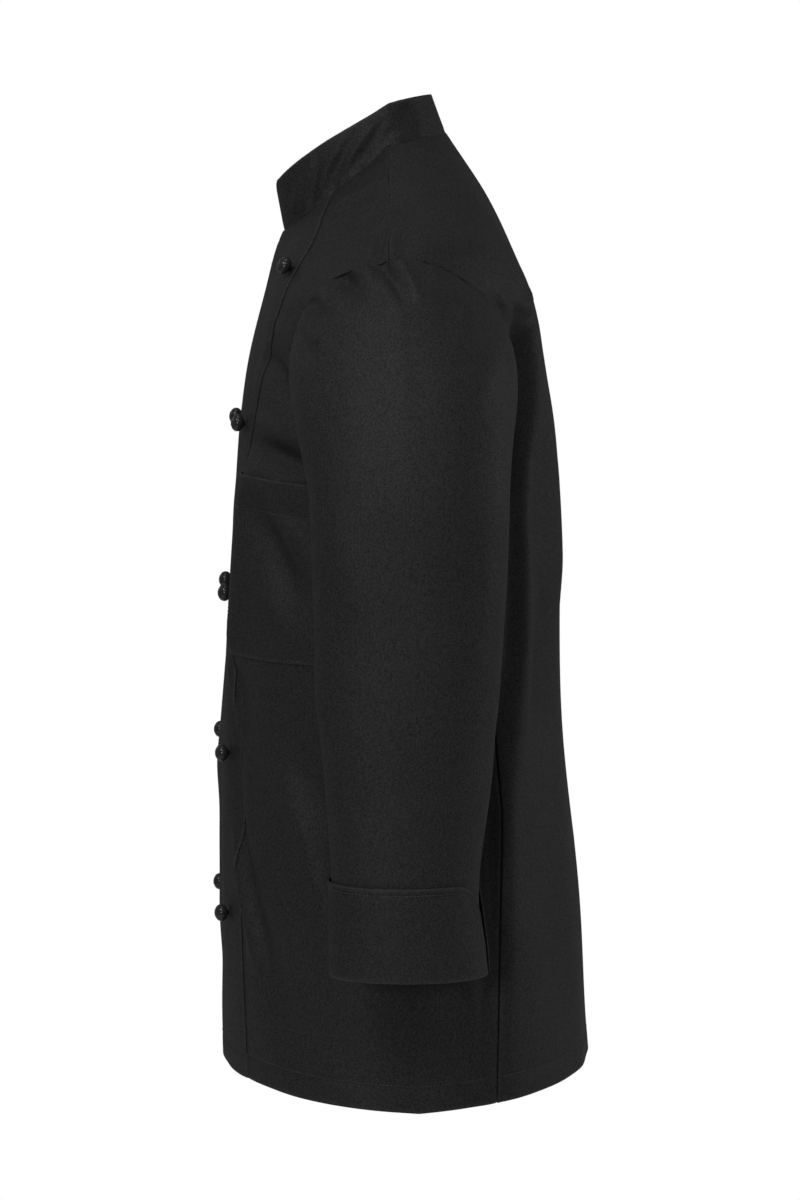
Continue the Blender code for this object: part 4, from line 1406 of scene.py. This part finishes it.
@dataclass
class SleevePiece:
    """One sleeve with its turned-back cuff.

    Attributes:
        form: The draped sleeve.
        finishes: Materials of the jacket.
        spacing: Distance between the lines of the mesh.
        sleeve_flat: Width and length that the sleeve is cut to; not used.
        sleeve_area: Its flat area; not used.
        cuff_flat: Width and length of what shows of the cuff; not used.
        cuff_area: Its flat area, with the rounded corners off; not used.
        turn_radius: Radius of the cuff's fold at the wrist.
        turned_in: How far the cuff runs up inside the sleeve.
        stitch_in: Distance of the cuff's stitches from its edge.
    """

    form: SleeveForm
    finishes: Finishes
    spacing: float = 0.0042
    sleeve_flat: tuple[float, float] = (0.435, 0.600)
    sleeve_area: float = 0.218
    cuff_flat: tuple[float, float] = (0.357, 0.092)
    cuff_area: float = 0.0307
    turn_radius: float = 0.0029
    turned_in: float = 0.010
    stitch_in: float = 0.0048

    def make_sleeve(self) -> bpy.types.Object:
        """Build the sleeve from the armhole to the wrist."""
        form = self.form
        levels = stations(lambda level: form.bare(1.0, level), (0, 1, 2), self.spacing,
                          ((0.0, 0.0004, 0.002), (0.0, 0.0022, 0.012), (2.0, 0.0015, 0.004)))
        turns = stations(lambda turn: form.ring_point(turn, form.tube_top), (8, 16, 24),
                         self.spacing, ((8.0, 0.0006, 0.003), (24.0, 0.0006, 0.003)))[:-1][::-1]
        turn, level = np.meshgrid(turns, levels)
        grid = ClothGrid(form.bare(turn, level, draped=True), closed=True)
        depths = grid.depths()
        fade = 1 - 0.8 * bell(depths, 0.004)
        widths = grid.widths()
        from_seam = np.minimum(turn - 8.0, 24.0 - turn) * 0.41 / TURNS
        shape = (form.soft(turn, level) * fade + seam_turn(depths, depth=SEAM_ROUND)
                 + 0.0012 * bell(depths - 0.008, 0.007)
                 + puckers(widths, depths, 0.0009, 0.016, 61 + form.side.value)
                 - 0.0008 * bell(from_seam, 0.0010))
        moved = grid.moved(shape).points
        # Lightened along the armhole edge: part rubbing, part painted highlight.
        wear = 0.6 * bell(depths, 0.0012)
        if form.side is Side.RIGHT:
            moved, wear = form.put_on_side(moved), wear[:, ::-1]
        name = f"sleeve_{form.side.word}"
        sewer = ShellSewer(f"{name}_cloth", ClothGrid(moved, True), WALL, wear)
        piece = sewer.make(self.finishes.cloth)
        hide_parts(name)
        return piece

    def _cuff_face(self, turn: Array, height: Array, offset: Array) -> Array:
        """Points of the cuff that stand an offset out from the sleeve's own face."""
        form = self.form
        ends = (-CUFF_RINGS[0][0], -CUFF_RINGS[-1][0])
        sizes = read_smooth(CUFF_RINGS, np.interp(-height, ends, (0.0, len(CUFF_RINGS) - 1.0)))
        share = np.clip((offset + self.turn_radius) / (2 * self.turn_radius), 0.0, 1.0)
        out = offset + (sizes[..., 1] - 0.0028) * share
        held = np.maximum(height, form.tube_bottom)
        out = out + form.soft(turn, form.level_at(held))
        points = form.ring_point(turn, held, out, sizes[..., 2])
        points[..., 2] = height
        return points

    def make_cuff(self) -> bpy.types.Object:
        """Build the cuff, its fold at the wrist and its open slit at the rear."""
        form = self.form
        top, bottom = CUFF_RINGS[0][0], CUFF_RINGS[-1][0]
        first, last = CUFF_SLIT[1], CUFF_SLIT[0] + TURNS
        turns = stations(lambda turn: form.ring_point(turn, top), (first, last), 0.0030,
                         ((first, 0.0007, 0.008), (last, 0.0007, 0.008)))[::-1]
        radius = self.turn_radius
        outside = np.concatenate([np.linspace(top, top - 0.008, 12),
                                  np.linspace(top - 0.008, bottom + radius, 26)[1:]])
        bend = np.linspace(0, math.pi, 9)[1:]
        inside = np.linspace(bottom + radius, bottom + radius + self.turned_in, 6)[1:]
        heights = np.concatenate([outside, bottom + radius - radius * np.sin(bend), inside])
        offsets = np.concatenate([np.full(len(outside), radius), radius * np.cos(bend),
                                  np.full(len(inside), -radius)]) - 0.0001
        end = np.minimum(turns - first, last - turns) * CUFF_TURN
        short = np.clip(CUFF_CORNER - end, 0.0, CUFF_CORNER)
        drop = CUFF_CORNER - np.sqrt(CUFF_CORNER ** 2 - short ** 2)
        share = np.clip((heights - bottom - radius) / (top - bottom - radius), 0.0, 1.0)
        share = np.where(np.arange(len(heights)) < len(outside), share, 0.0)
        turn, height = np.meshgrid(turns, heights)
        height = height - drop[None, :] * share[:, None]
        offset = np.broadcast_to(offsets[:, None], height.shape)
        flutter = 0.0006 * np.sin(turn * 1.9 + 0.7) * share[:, None] ** 2
        grid = ClothGrid(self._cuff_face(turn, height, offset + flutter))
        depths, widths = grid.depths(), grid.widths()
        edge = np.minimum(widths, grid.from_end())
        inset = np.where(np.arange(len(heights))[:, None] < len(outside), 1.0, 0.0)
        nearest = np.minimum(edge, depths)
        shape = inset * (-0.0004 * bell(nearest - self.stitch_in, 0.0012)
                         + puckers(widths, depths - self.stitch_in, 0.0003, 0.007, 71))
        moved = grid.moved(shape)
        # Lightened along the cuff's edges and its fold at the wrist: part rubbing, part painted
        # highlight.
        wear = np.maximum(bell(nearest, 0.0016), bell(height - bottom, 0.003))
        points = moved.points
        if form.side is Side.RIGHT:
            points, wear = form.put_on_side(points), wear[:, ::-1]
        name = f"cuff_{form.side.word}"
        sewer = ShellSewer(f"{name}_cloth", ClothGrid(points), CUFF_WALL - 0.0003, wear)
        piece = sewer.make(self.finishes.cloth)
        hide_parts(name)
        return piece

    def sew_cuff(self) -> bpy.types.Object:
        """Stitches along the cuff's top edge, round its corners and down the slit."""
        form = self.form
        top, bottom = CUFF_RINGS[0][0], CUFF_RINGS[-1][0]
        first, last = CUFF_SLIT[1], CUFF_SLIT[0] + TURNS
        around, corner, inset = CUFF_TURN, CUFF_CORNER, self.stitch_in
        rise = np.linspace(top - bottom - 0.004, corner, 60)
        turn = np.linspace(0.0, math.pi / 2, 40)
        from_end = np.concatenate([np.full(60, inset), corner - (corner - inset) * np.cos(turn)])
        from_top = np.concatenate([rise, corner - (corner - inset) * np.sin(turn)])
        turns = np.concatenate([first + from_end / around,
                                np.linspace(first + corner / around, last - corner / around, 400),
                                (last - from_end / around)[::-1]])
        height = top - np.concatenate([from_top, np.full(400, inset), from_top[::-1]])
        line = self._cuff_face(turns, height, np.full(len(turns), self.turn_radius - 0.0002))
        outward = unit((line - form.rings[-1][[1, 2, 0]]) * (1.0, 0.75, 0.0))
        if form.side is Side.RIGHT:
            line, outward = line * (-1, 1, 1), outward * (-1, 1, 1)
        sewing = Sewing(f"cuff_thread_{form.side.word}", Stitch(0.0023, 0.0030))
        sewing.row(line, outward)
        return sewing.make(self.finishes.thread)

    def make(self) -> None:
        sleeve = self.make_sleeve()
        cuff = self.make_cuff()
        self.sew_cuff()


# --- collar ------------------------------------------------------------------------------------
COLLAR_CREASES = Crease.rows(
    ((30, 0.02), (42, 0.62), 0.0044, -0.0020, 0, 0.7, 0.8),
    ((38, -0.04), (53, 0.74), 0.0052, -0.0033, 0, 0.7, 0.8),
    ((48, 0.04), (62, 0.66), 0.0042, -0.0025, 0, 0.7, 0.8),
    ((53, -0.05), (73, 0.84), 0.0052, -0.0036, 0, 0.7, 0.8),
    ((63, 0.05), (79, 0.62), 0.0040, -0.0026, 0, 0.7, 0.8),
    ((69, 0.00), (90, 0.70), 0.0048, -0.0032, 0, 0.7, 0.8),
    ((82, 0.10), (97, 0.50), 0.0040, -0.0016, 0, 0.7, 0.8),
    ((104, 0.20), (109, 0.95), 0.0100, -0.0022, 0, 0.5),
    ((-31, 0.00), (-44, 0.66), 0.0048, -0.0024, 0, 0.7, 0.8),
    ((-41, -0.05), (-57, 0.80), 0.0054, -0.0034, 0, 0.7, 0.8),
    ((-52, 0.06), (-66, 0.62), 0.0042, -0.0024, 0, 0.7, 0.8),
    ((-60, -0.02), (-79, 0.82), 0.0050, -0.0032, 0, 0.7, 0.8),
    ((-73, 0.02), (-88, 0.58), 0.0044, -0.0022, 0, 0.7, 0.8),
    ((-112, 0.15), (-116, 0.90), 0.0110, -0.0018, 0, 0.4),
)


@dataclass
class StandCollar:
    """The stand collar, two layers with a stiffener.

    Attributes:
        body: The draped form whose neck seam it stands on.
        finishes: Materials of the jacket.
        inset: How far its lower edge stands off the neck seam; below zero it is let in.
        stitch_up: Height of its lower row of stitches.
        flat: Width and length of what shows of the cut; not used.
        area: Its flat area, as it is lower at the back; not used.
    """

    body: BodyForm
    finishes: Finishes
    inset: float = -0.0014
    stitch_up: float = 0.0034
    flat: tuple[float, float] = (0.478, 0.046)
    area: float = 0.0184

    def face(self, angle: Array, share: Array) -> Array:
        """Points of the outer face; share runs from the neck seam at 0 to the top at 1."""
        angle, share = pair(angle, share)
        base = self.body.bare(angle, np.zeros(angle.shape))
        turn = np.radians(angle)
        ends = np.where((np.cos(turn) >= 0)[..., None], COLLAR_FRONT_LEAN, COLLAR_BACK_LEAN)
        side = np.broadcast_to(COLLAR_SIDE_LEAN, ends.shape).copy()
        side[..., 0] = np.copysign(COLLAR_SIDE_LEAN[0], -np.sin(turn))
        square = np.cos(turn)[..., None] ** 2
        blend = square * (2 - square)
        lean = ends * blend + side * (1 - blend)
        swell = COLLAR_SWELL * np.sin(2 * turn) * np.sin(turn)
        lean[..., 2] += np.maximum(swell, 0.0)
        signed = np.mod(angle, 360)
        end = np.radians(np.minimum(signed, 360 - signed) - COLLAR_END_ANGLE) * BODY_RINGS[0][2]
        short = np.clip(COLLAR_CORNER - end, 0.0, COLLAR_CORNER)
        drop = COLLAR_CORNER - np.sqrt(COLLAR_CORNER ** 2 - short ** 2)
        length = np.linalg.norm(lean, axis=-1, keepdims=True)
        lean = lean * (1 - drop[..., None] / length)
        start = unit(lean) * self.inset
        return base + start + (lean - start) * share[..., None]

    def _shape(self, angle: Array, share: Array, grid: ClothGrid) -> Array:
        """Heights of its wrinkles and puckers."""
        normals = grid.normals()
        total = Unevenness(31, 0.0003, 0.03, 0.09, 1.0).lift_at(grid.points)
        for crease in COLLAR_CREASES:
            total = total + crease.lift_at(grid.points, normals, self.face)
        end = np.minimum(angle, 360 - angle)
        return total * ease((end - 6) / 12)

    def make(self) -> None:
        angles = stations(lambda angle: self.face(angle, 0.5), (2, 180, 358), 0.0022,
                          ((2, 0.0006, 0.004), (358, 0.0006, 0.004)))
        shares = stations(lambda share: self.face(60.0, share), (0, 1), 0.0021,
                          ((0, 0.0006, 0.002), (1, 0.0008, 0.003)))[::-1]
        angle, share = np.meshgrid(angles, shares)
        grid = ClothGrid(self.face(angle, share))
        depths, widths = grid.depths(), grid.widths()
        up = grid.above_end()
        shape = (self._shape(angle, share, grid) + COLLAR_SHARE * seam_turn(up)
                 - 0.0003 * bell(up - self.stitch_up, 0.0010)
                 + puckers(widths, up - 0.004, 0.0004, 0.010, 81))
        edge = np.minimum(np.minimum(widths, grid.from_end()), depths)
        # Lightened along its edges: part rubbing, part painted highlight.
        sewer = ShellSewer("collar_cloth", grid.moved(shape), COLLAR_WALL, bell(edge, 0.0015))
        piece = sewer.make(self.finishes.cloth)
        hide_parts("collar")
        line = np.linspace(5, 355, 700)
        level = np.full(700, self.stitch_up / COLLAR_MEAN_HEIGHT)
        low, high = self.face(line, level - 0.02), self.face(line, level + 0.02)
        ahead = self.face(line + 0.5, level) - self.face(line - 0.5, level)
        outward = unit(np.cross(low - high, ahead))
        rows = ClothGrid(np.stack([high, low]))
        lift = self._shape(np.broadcast_to(line, (2, 700)), np.stack([level, level]), rows)[0]
        points = self.face(line, level) + outward * (lift - 0.0002)[:, None]
        sewing = Sewing("collar_thread", Stitch(0.0022, 0.0029))
        sewing.row(points, outward)
        for side in (88.5, 271.5):
            self._bar_tack(sewing, side)
        sewing.make(self.finishes.thread)

    def _bar_tack(self, sewing: Sewing, angle: float) -> None:
        """A short dense tack where the shoulder seam meets the collar."""
        spots = angle + np.linspace(-2.6, 2.6, 9)
        height = np.full(9, self.stitch_up / COLLAR_MEAN_HEIGHT)
        centres = self.face(spots, height)
        rise = self.face(spots, height + 0.1) - self.face(spots, height - 0.1)
        around = self.face(spots + 0.5, height) - self.face(spots - 0.5, height)
        outward = unit(np.cross(-rise, around))
        lean = rise + around * np.where(np.arange(9) % 2, 1.5, -1.5)[:, None]
        sewing.place(centres + outward * 0.0002, lean, outward, sink=0.0)


# --- pocket ------------------------------------------------------------------------------------
@dataclass
class ChestPocket:
    """The patch pocket on the wearer's left chest.

    Attributes:
        body: The draped form that it lies on.
        finishes: Materials of the jacket.
        sewn_off: Outer face over the front along the sewn edges.
        full_off: Outer face over the front in the middle.
        mouth_off: Outer face over the front in the middle of the mouth.
        mouth_hem: Depth of the hem along the mouth.
        stitch_in: Distance of the stitches from the sewn edges.
        flat: Width and length that it is cut to; not used.
    """

    body: BodyForm
    finishes: Finishes
    sewn_off: float = 0.0017
    full_off: float = 0.0050
    mouth_off: float = 0.0040
    mouth_hem: float = 0.027
    stitch_in: float = 0.0019
    flat: tuple[float, float] = (0.138, 0.153)

    def place(self, across: Array, down: Array) -> tuple[Array, Array]:
        """Angle and row of shares across and down the pocket."""
        body = self.body
        across, down = pair(across, down)
        top = POCKET_TOP + POCKET_SLOPE * across
        height = top + (POCKET_BOTTOM - top) * down
        levels = np.linspace(4.8, 7.0, 400)
        row = np.interp(-height, -body.bare(90.0, levels)[:, 2], levels)
        rows = np.linspace(row.min(), row.max(), 24)
        starts = body.angle_at_x(POCKET_FRONT_X, rows)
        sweep = np.linspace(0.0, 60.0, 500)
        angles = starts[:, None] + sweep[None, :]
        lengths = ClothGrid(body.bare(angles, rows[:, None])).widths()
        reached = np.array([np.interp(POCKET_WIDTH * np.linspace(0, 1, 60), length, line)
                            for length, line in zip(lengths, angles)])
        position = (row - rows[0]) / (rows[-1] - rows[0]) * (len(rows) - 1)
        low = np.minimum(position.astype(int), len(rows) - 2)
        spot = across * 59
        left = np.minimum(spot.astype(int), 58)
        share_row, share_spot = position - low, spot - left
        near = reached[low, left] * (1 - share_spot) + reached[low, left + 1] * share_spot
        far = reached[low + 1, left] * (1 - share_spot) + reached[low + 1, left + 1] * share_spot
        return near * (1 - share_row) + far * share_row, row

    def lift(self, across: Array, down: Array) -> Array:
        """Distance of the outer face over the front."""
        side = np.sin(np.pi * across) ** 0.7
        lower = np.clip((1 - down) / 0.25, 0.0, 1.0)
        middle = self.mouth_off + (self.full_off - self.mouth_off) * ease(down / 0.4)
        return self.sewn_off + (middle - self.sewn_off) * side * ease(lower)

    def make(self) -> None:
        across = stations(lambda share: self.body.bare(*self.place(share, 0.5)), (0, 1), 0.0030,
                          ((0, 0.0007, 0.003), (1, 0.0007, 0.003)))
        mouth = self.mouth_hem / POCKET_DEPTH
        down = stations(lambda share: self.body.bare(*self.place(0.5, share)), (0, 1), 0.0030,
                        ((0, 0.0008, 0.003), (1, 0.0007, 0.003), (mouth, 0.0010, 0.002)))
        share_across, share_down = np.meshgrid(across, down)
        angle, row = self.place(share_across, share_down)
        grid = ClothGrid(self.body.dressed(angle, row, self.lift(share_across, share_down)))
        depths, widths = grid.depths(), grid.widths()
        above_end = grid.above_end()
        edge = np.minimum(np.minimum(widths, grid.from_end()), above_end)
        shape = (-0.0003 * bell(edge - self.stitch_in, 0.0008)
                 - 0.0003 * bell(depths - self.mouth_hem, 0.0012)
                 + 0.0002 * ease((self.mouth_hem - depths) / 0.003)
                 + puckers(depths, edge - 0.002, 0.0004, 0.008, 91)
                 + puckers(widths, above_end - 0.002, 0.0004, 0.008, 93))
        wall = WALL + 0.0006 * ease((self.mouth_hem + 0.001 - depths) / 0.002)
        # Lightened along its edges and the mouth: part rubbing, part painted highlight.
        wear = bell(np.minimum(edge, depths), 0.0013)
        piece = ShellSewer("chest_pocket_cloth", grid.moved(shape), wall, wear).make(
            self.finishes.cloth)
        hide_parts("chest_pocket")
        self._sew()

    def _sew(self) -> bpy.types.Object:
        """Stitches round the sewn edges and along the mouth hem."""
        side, low = self.stitch_in / POCKET_WIDTH, 1 - self.stitch_in / POCKET_DEPTH
        top, mouth = 0.02, self.mouth_hem / POCKET_DEPTH
        fall, sweep = np.linspace(top, low, 200), np.linspace(side, 1 - side, 200)
        edge = (np.concatenate([np.full(200, side), sweep, np.full(200, 1 - side)]),
                np.concatenate([fall, np.full(200, low), fall[::-1]]))
        hem = (sweep, np.full(200, mouth))
        sewing = Sewing("pocket_thread")
        for across, down in (edge, hem):
            angle, row = self.place(across, down)
            lift = self.lift(across, down) - 0.0002
            sewing.row(self.body.dressed(angle, row, lift), self.body.normal(angle, row))
        return sewing.make(self.finishes.thread)


# --- ball buttons ------------------------------------------------------------------------------
@dataclass
class BallButtons:
    """Ten ball buttons, each a ball and a plate on one shank.

    Attributes:
        body: The draped form that they hold closed.
        finishes: Materials of the jacket.
        ball_steps: Rings from the top of the ball to its shank.
        round_steps: Corners round the ball.
        ring_depth: Depth of the two rings turned into its crown.
    """

    body: BodyForm
    finishes: Finishes
    ball_steps: int = 34
    round_steps: int = 36
    ring_depth: float = 0.00022

    def _profile(self) -> list[tuple[float, float]]:
        """Radius and height of the turned outline, from the top to the plate's underside."""
        centre = BALL_CLEAR + BALL_HALF_HEIGHT
        start = math.asin(SHANK_RADIUS / BALL_RADIUS)
        outline = []
        for index in range(1, self.ball_steps + 1):
            turn = (math.pi - start * 1.25) * index / self.ball_steps
            ring = self.ring_depth * float(bell(turn - 0.62, 0.11) + bell(turn - 0.20, 0.07))
            outline.append((BALL_RADIUS * math.sin(turn),
                            centre + BALL_HALF_HEIGHT * math.cos(turn) - ring))
        outline += [(SHANK_RADIUS * 1.06, BALL_CLEAR + 0.0001), (SHANK_RADIUS, -0.0004),
                    (SHANK_RADIUS, PLATE_BACK + 0.0003), (SHANK_RADIUS + 0.0003, PLATE_BACK)]
        for turn in np.linspace(0.0, math.pi, 7):
            outline.append((PLATE_RADIUS - 0.0007 + 0.0007 * math.sin(turn),
                            PLATE_BACK - PLATE_THICKNESS * (1 - math.cos(turn)) / 2))
        return outline

    def _mesh(self) -> bpy.types.Mesh:
        """The turned mesh that all buttons share."""
        profile = self._profile()
        top = BALL_CLEAR + 2 * BALL_HALF_HEIGHT
        verts = [(0.0, 0.0, top)]
        for radius, height in profile:
            for step in range(self.round_steps):
                turn = 2 * math.pi * step / self.round_steps
                verts.append((radius * math.cos(turn), radius * math.sin(turn), height))
        verts.append((0.0, 0.0, profile[-1][1]))
        last, faces = len(verts) - 1, []
        for step in range(self.round_steps):
            after = (step + 1) % self.round_steps
            faces.append((0, 1 + step, 1 + after))
            for ring in range(len(profile) - 1):
                near, far = 1 + ring * self.round_steps, 1 + (ring + 1) * self.round_steps
                faces.append((near + step, far + step, far + after, near + after))
            base = last - self.round_steps
            faces.append((last, base + after, base + step))
        mesh = make_mesh("ball_button", verts, faces)
        mesh.shade_smooth()
        mesh.materials.append(self.finishes.plastic)
        return mesh

    def make(self) -> None:
        """Place the ten buttons."""
        mesh = self._mesh()
        for side in Side:
            for index, (row, angle) in enumerate(self.body.button_marks(), start=1):
                signed = side.value * angle
                outward = Vector(self.body.normal(signed, row))
                button = add_object(f"ball_button_{side.word}_{index}", mesh)
                button.location = self.body.dressed(signed, row, LAP_LIFT)
                button.rotation_euler = outward.to_track_quat("Z", "Y").to_euler()
                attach(button, "root")
                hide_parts(f"button_{side.word}_{index}")
                LOG.info("%s: %d faces", button.name, len(mesh.polygons))


# --- studio ------------------------------------------------------------------------------------
@dataclass
class Studio:
    """Plain white studio with soft light and the camera at the wearer's left.

    Attributes:
        eye: Where the camera stands.
        aim: Point that it looks at.
        lens: Focal length in millimetres on a 36 mm sensor.
        floor_height: Height of the floor.
        floor_size: Half of the floor's width.
        ambient: Strength of the even light on the jacket.
        backdrop: Strength of the white that shows behind it.
    """

    eye: tuple[float, float, float] = (3.4, -0.164, -0.0844)
    aim: tuple[float, float, float] = (0.0, 0.0139, -0.3874)
    lens: float = 118.6
    floor_height: float = -1.30
    floor_size: float = 1.5
    ambient: float = 0.15
    backdrop: float = 1.0

    def make_floor(self) -> None:
        """Lay the floor."""
        size, height = self.floor_size, self.floor_height
        corners = [(x, y, height) for x, y in ((-size, -size), (size, -size), (size, size),
                                               (-size, size))]
        mesh = make_mesh("studio_floor", corners, [(0, 1, 2, 3)])
        mesh.materials.append(PaleFloorFinish().make())
        add_object("studio_floor", mesh)

    def make_light(self, name: str, place: tuple[float, float, float], size: float,
                   power: float) -> None:
        """Hang one soft square light that faces the jacket."""
        lamp = bpy.data.lights.new(name, "AREA")
        lamp.shape, lamp.size, lamp.energy = "SQUARE", size, power
        light = add_object(name, lamp)
        light.location = place
        toward = Vector(self.aim) - light.location
        light.rotation_euler = toward.to_track_quat("-Z", "Y").to_euler()
        light.visible_camera = False

    def make_world(self) -> None:
        """Fill the studio with even white light."""
        world = bpy.data.worlds.new("white_studio")
        world.use_nodes = True
        tree = world.node_tree
        backing = tree.nodes["Background"]
        backing.inputs["Color"].default_value = (1.0, 1.0, 1.0, 1.0)
        strength = tree.nodes.new("ShaderNodeMapRange")
        strength.inputs[3].default_value = self.ambient
        strength.inputs[4].default_value = self.backdrop
        rays = tree.nodes.new("ShaderNodeLightPath")
        tree.links.new(rays.outputs["Is Camera Ray"], strength.inputs[0])
        tree.links.new(strength.outputs[0], backing.inputs["Strength"])
        bpy.context.scene.world = world
        bpy.context.scene.view_settings.view_transform = "Standard"

    def make_camera(self) -> None:
        """Stand the camera at the wearer's left, a little above."""
        camera_data = bpy.data.cameras.new("studio_camera")
        camera_data.lens = self.lens
        camera_data.sensor_width = 36.0
        camera = add_object("studio_camera", camera_data)
        camera.location = self.eye
        toward = Vector(self.aim) - Vector(self.eye)
        camera.rotation_euler = toward.to_track_quat("-Z", "Y").to_euler()
        bpy.context.scene.camera = camera

    def make(self) -> None:
        """Set up the whole studio."""
        self.make_camera()
        self.make_world()
        self.make_floor()
        self.make_light("key_light", (2.8, 0.0, 1.6), 1.1, 15.0)
        self.make_light("camera_light", (3.2, -0.95, 0.0), 0.45, 20.0)
        self.make_light("left_light", (1.9, -1.5, 2.1), 1.1, 29.0)
        self.make_light("top_light", (0.3, 0.0, 2.6), 1.3, 9.0)
        self.make_light("front_light", (-1.5, -2.6, 1.1), 1.2, 3.5)
        self.make_light("rear_light", (-0.4, 2.8, 0.1), 1.2, 13.5)


def main() -> None:
    """Build the studio and every piece of the jacket in order."""
    logging.basicConfig(level=logging.INFO, format="%(name)s: %(message)s")
    Studio().make()
    finishes = Finishes(BlackTwill().make(), SewingThread().make(), BallPlastic().make())
    body = BodyForm()
    BodyPanels(body, finishes).make()
    for side in Side:
        SleevePiece(SleeveForm(body, side), finishes).make()
    StandCollar(body, finishes).make()
    ChestPocket(body, finishes).make()
    BallButtons(body, finishes).make()


if __name__ == "__main__":
    main()
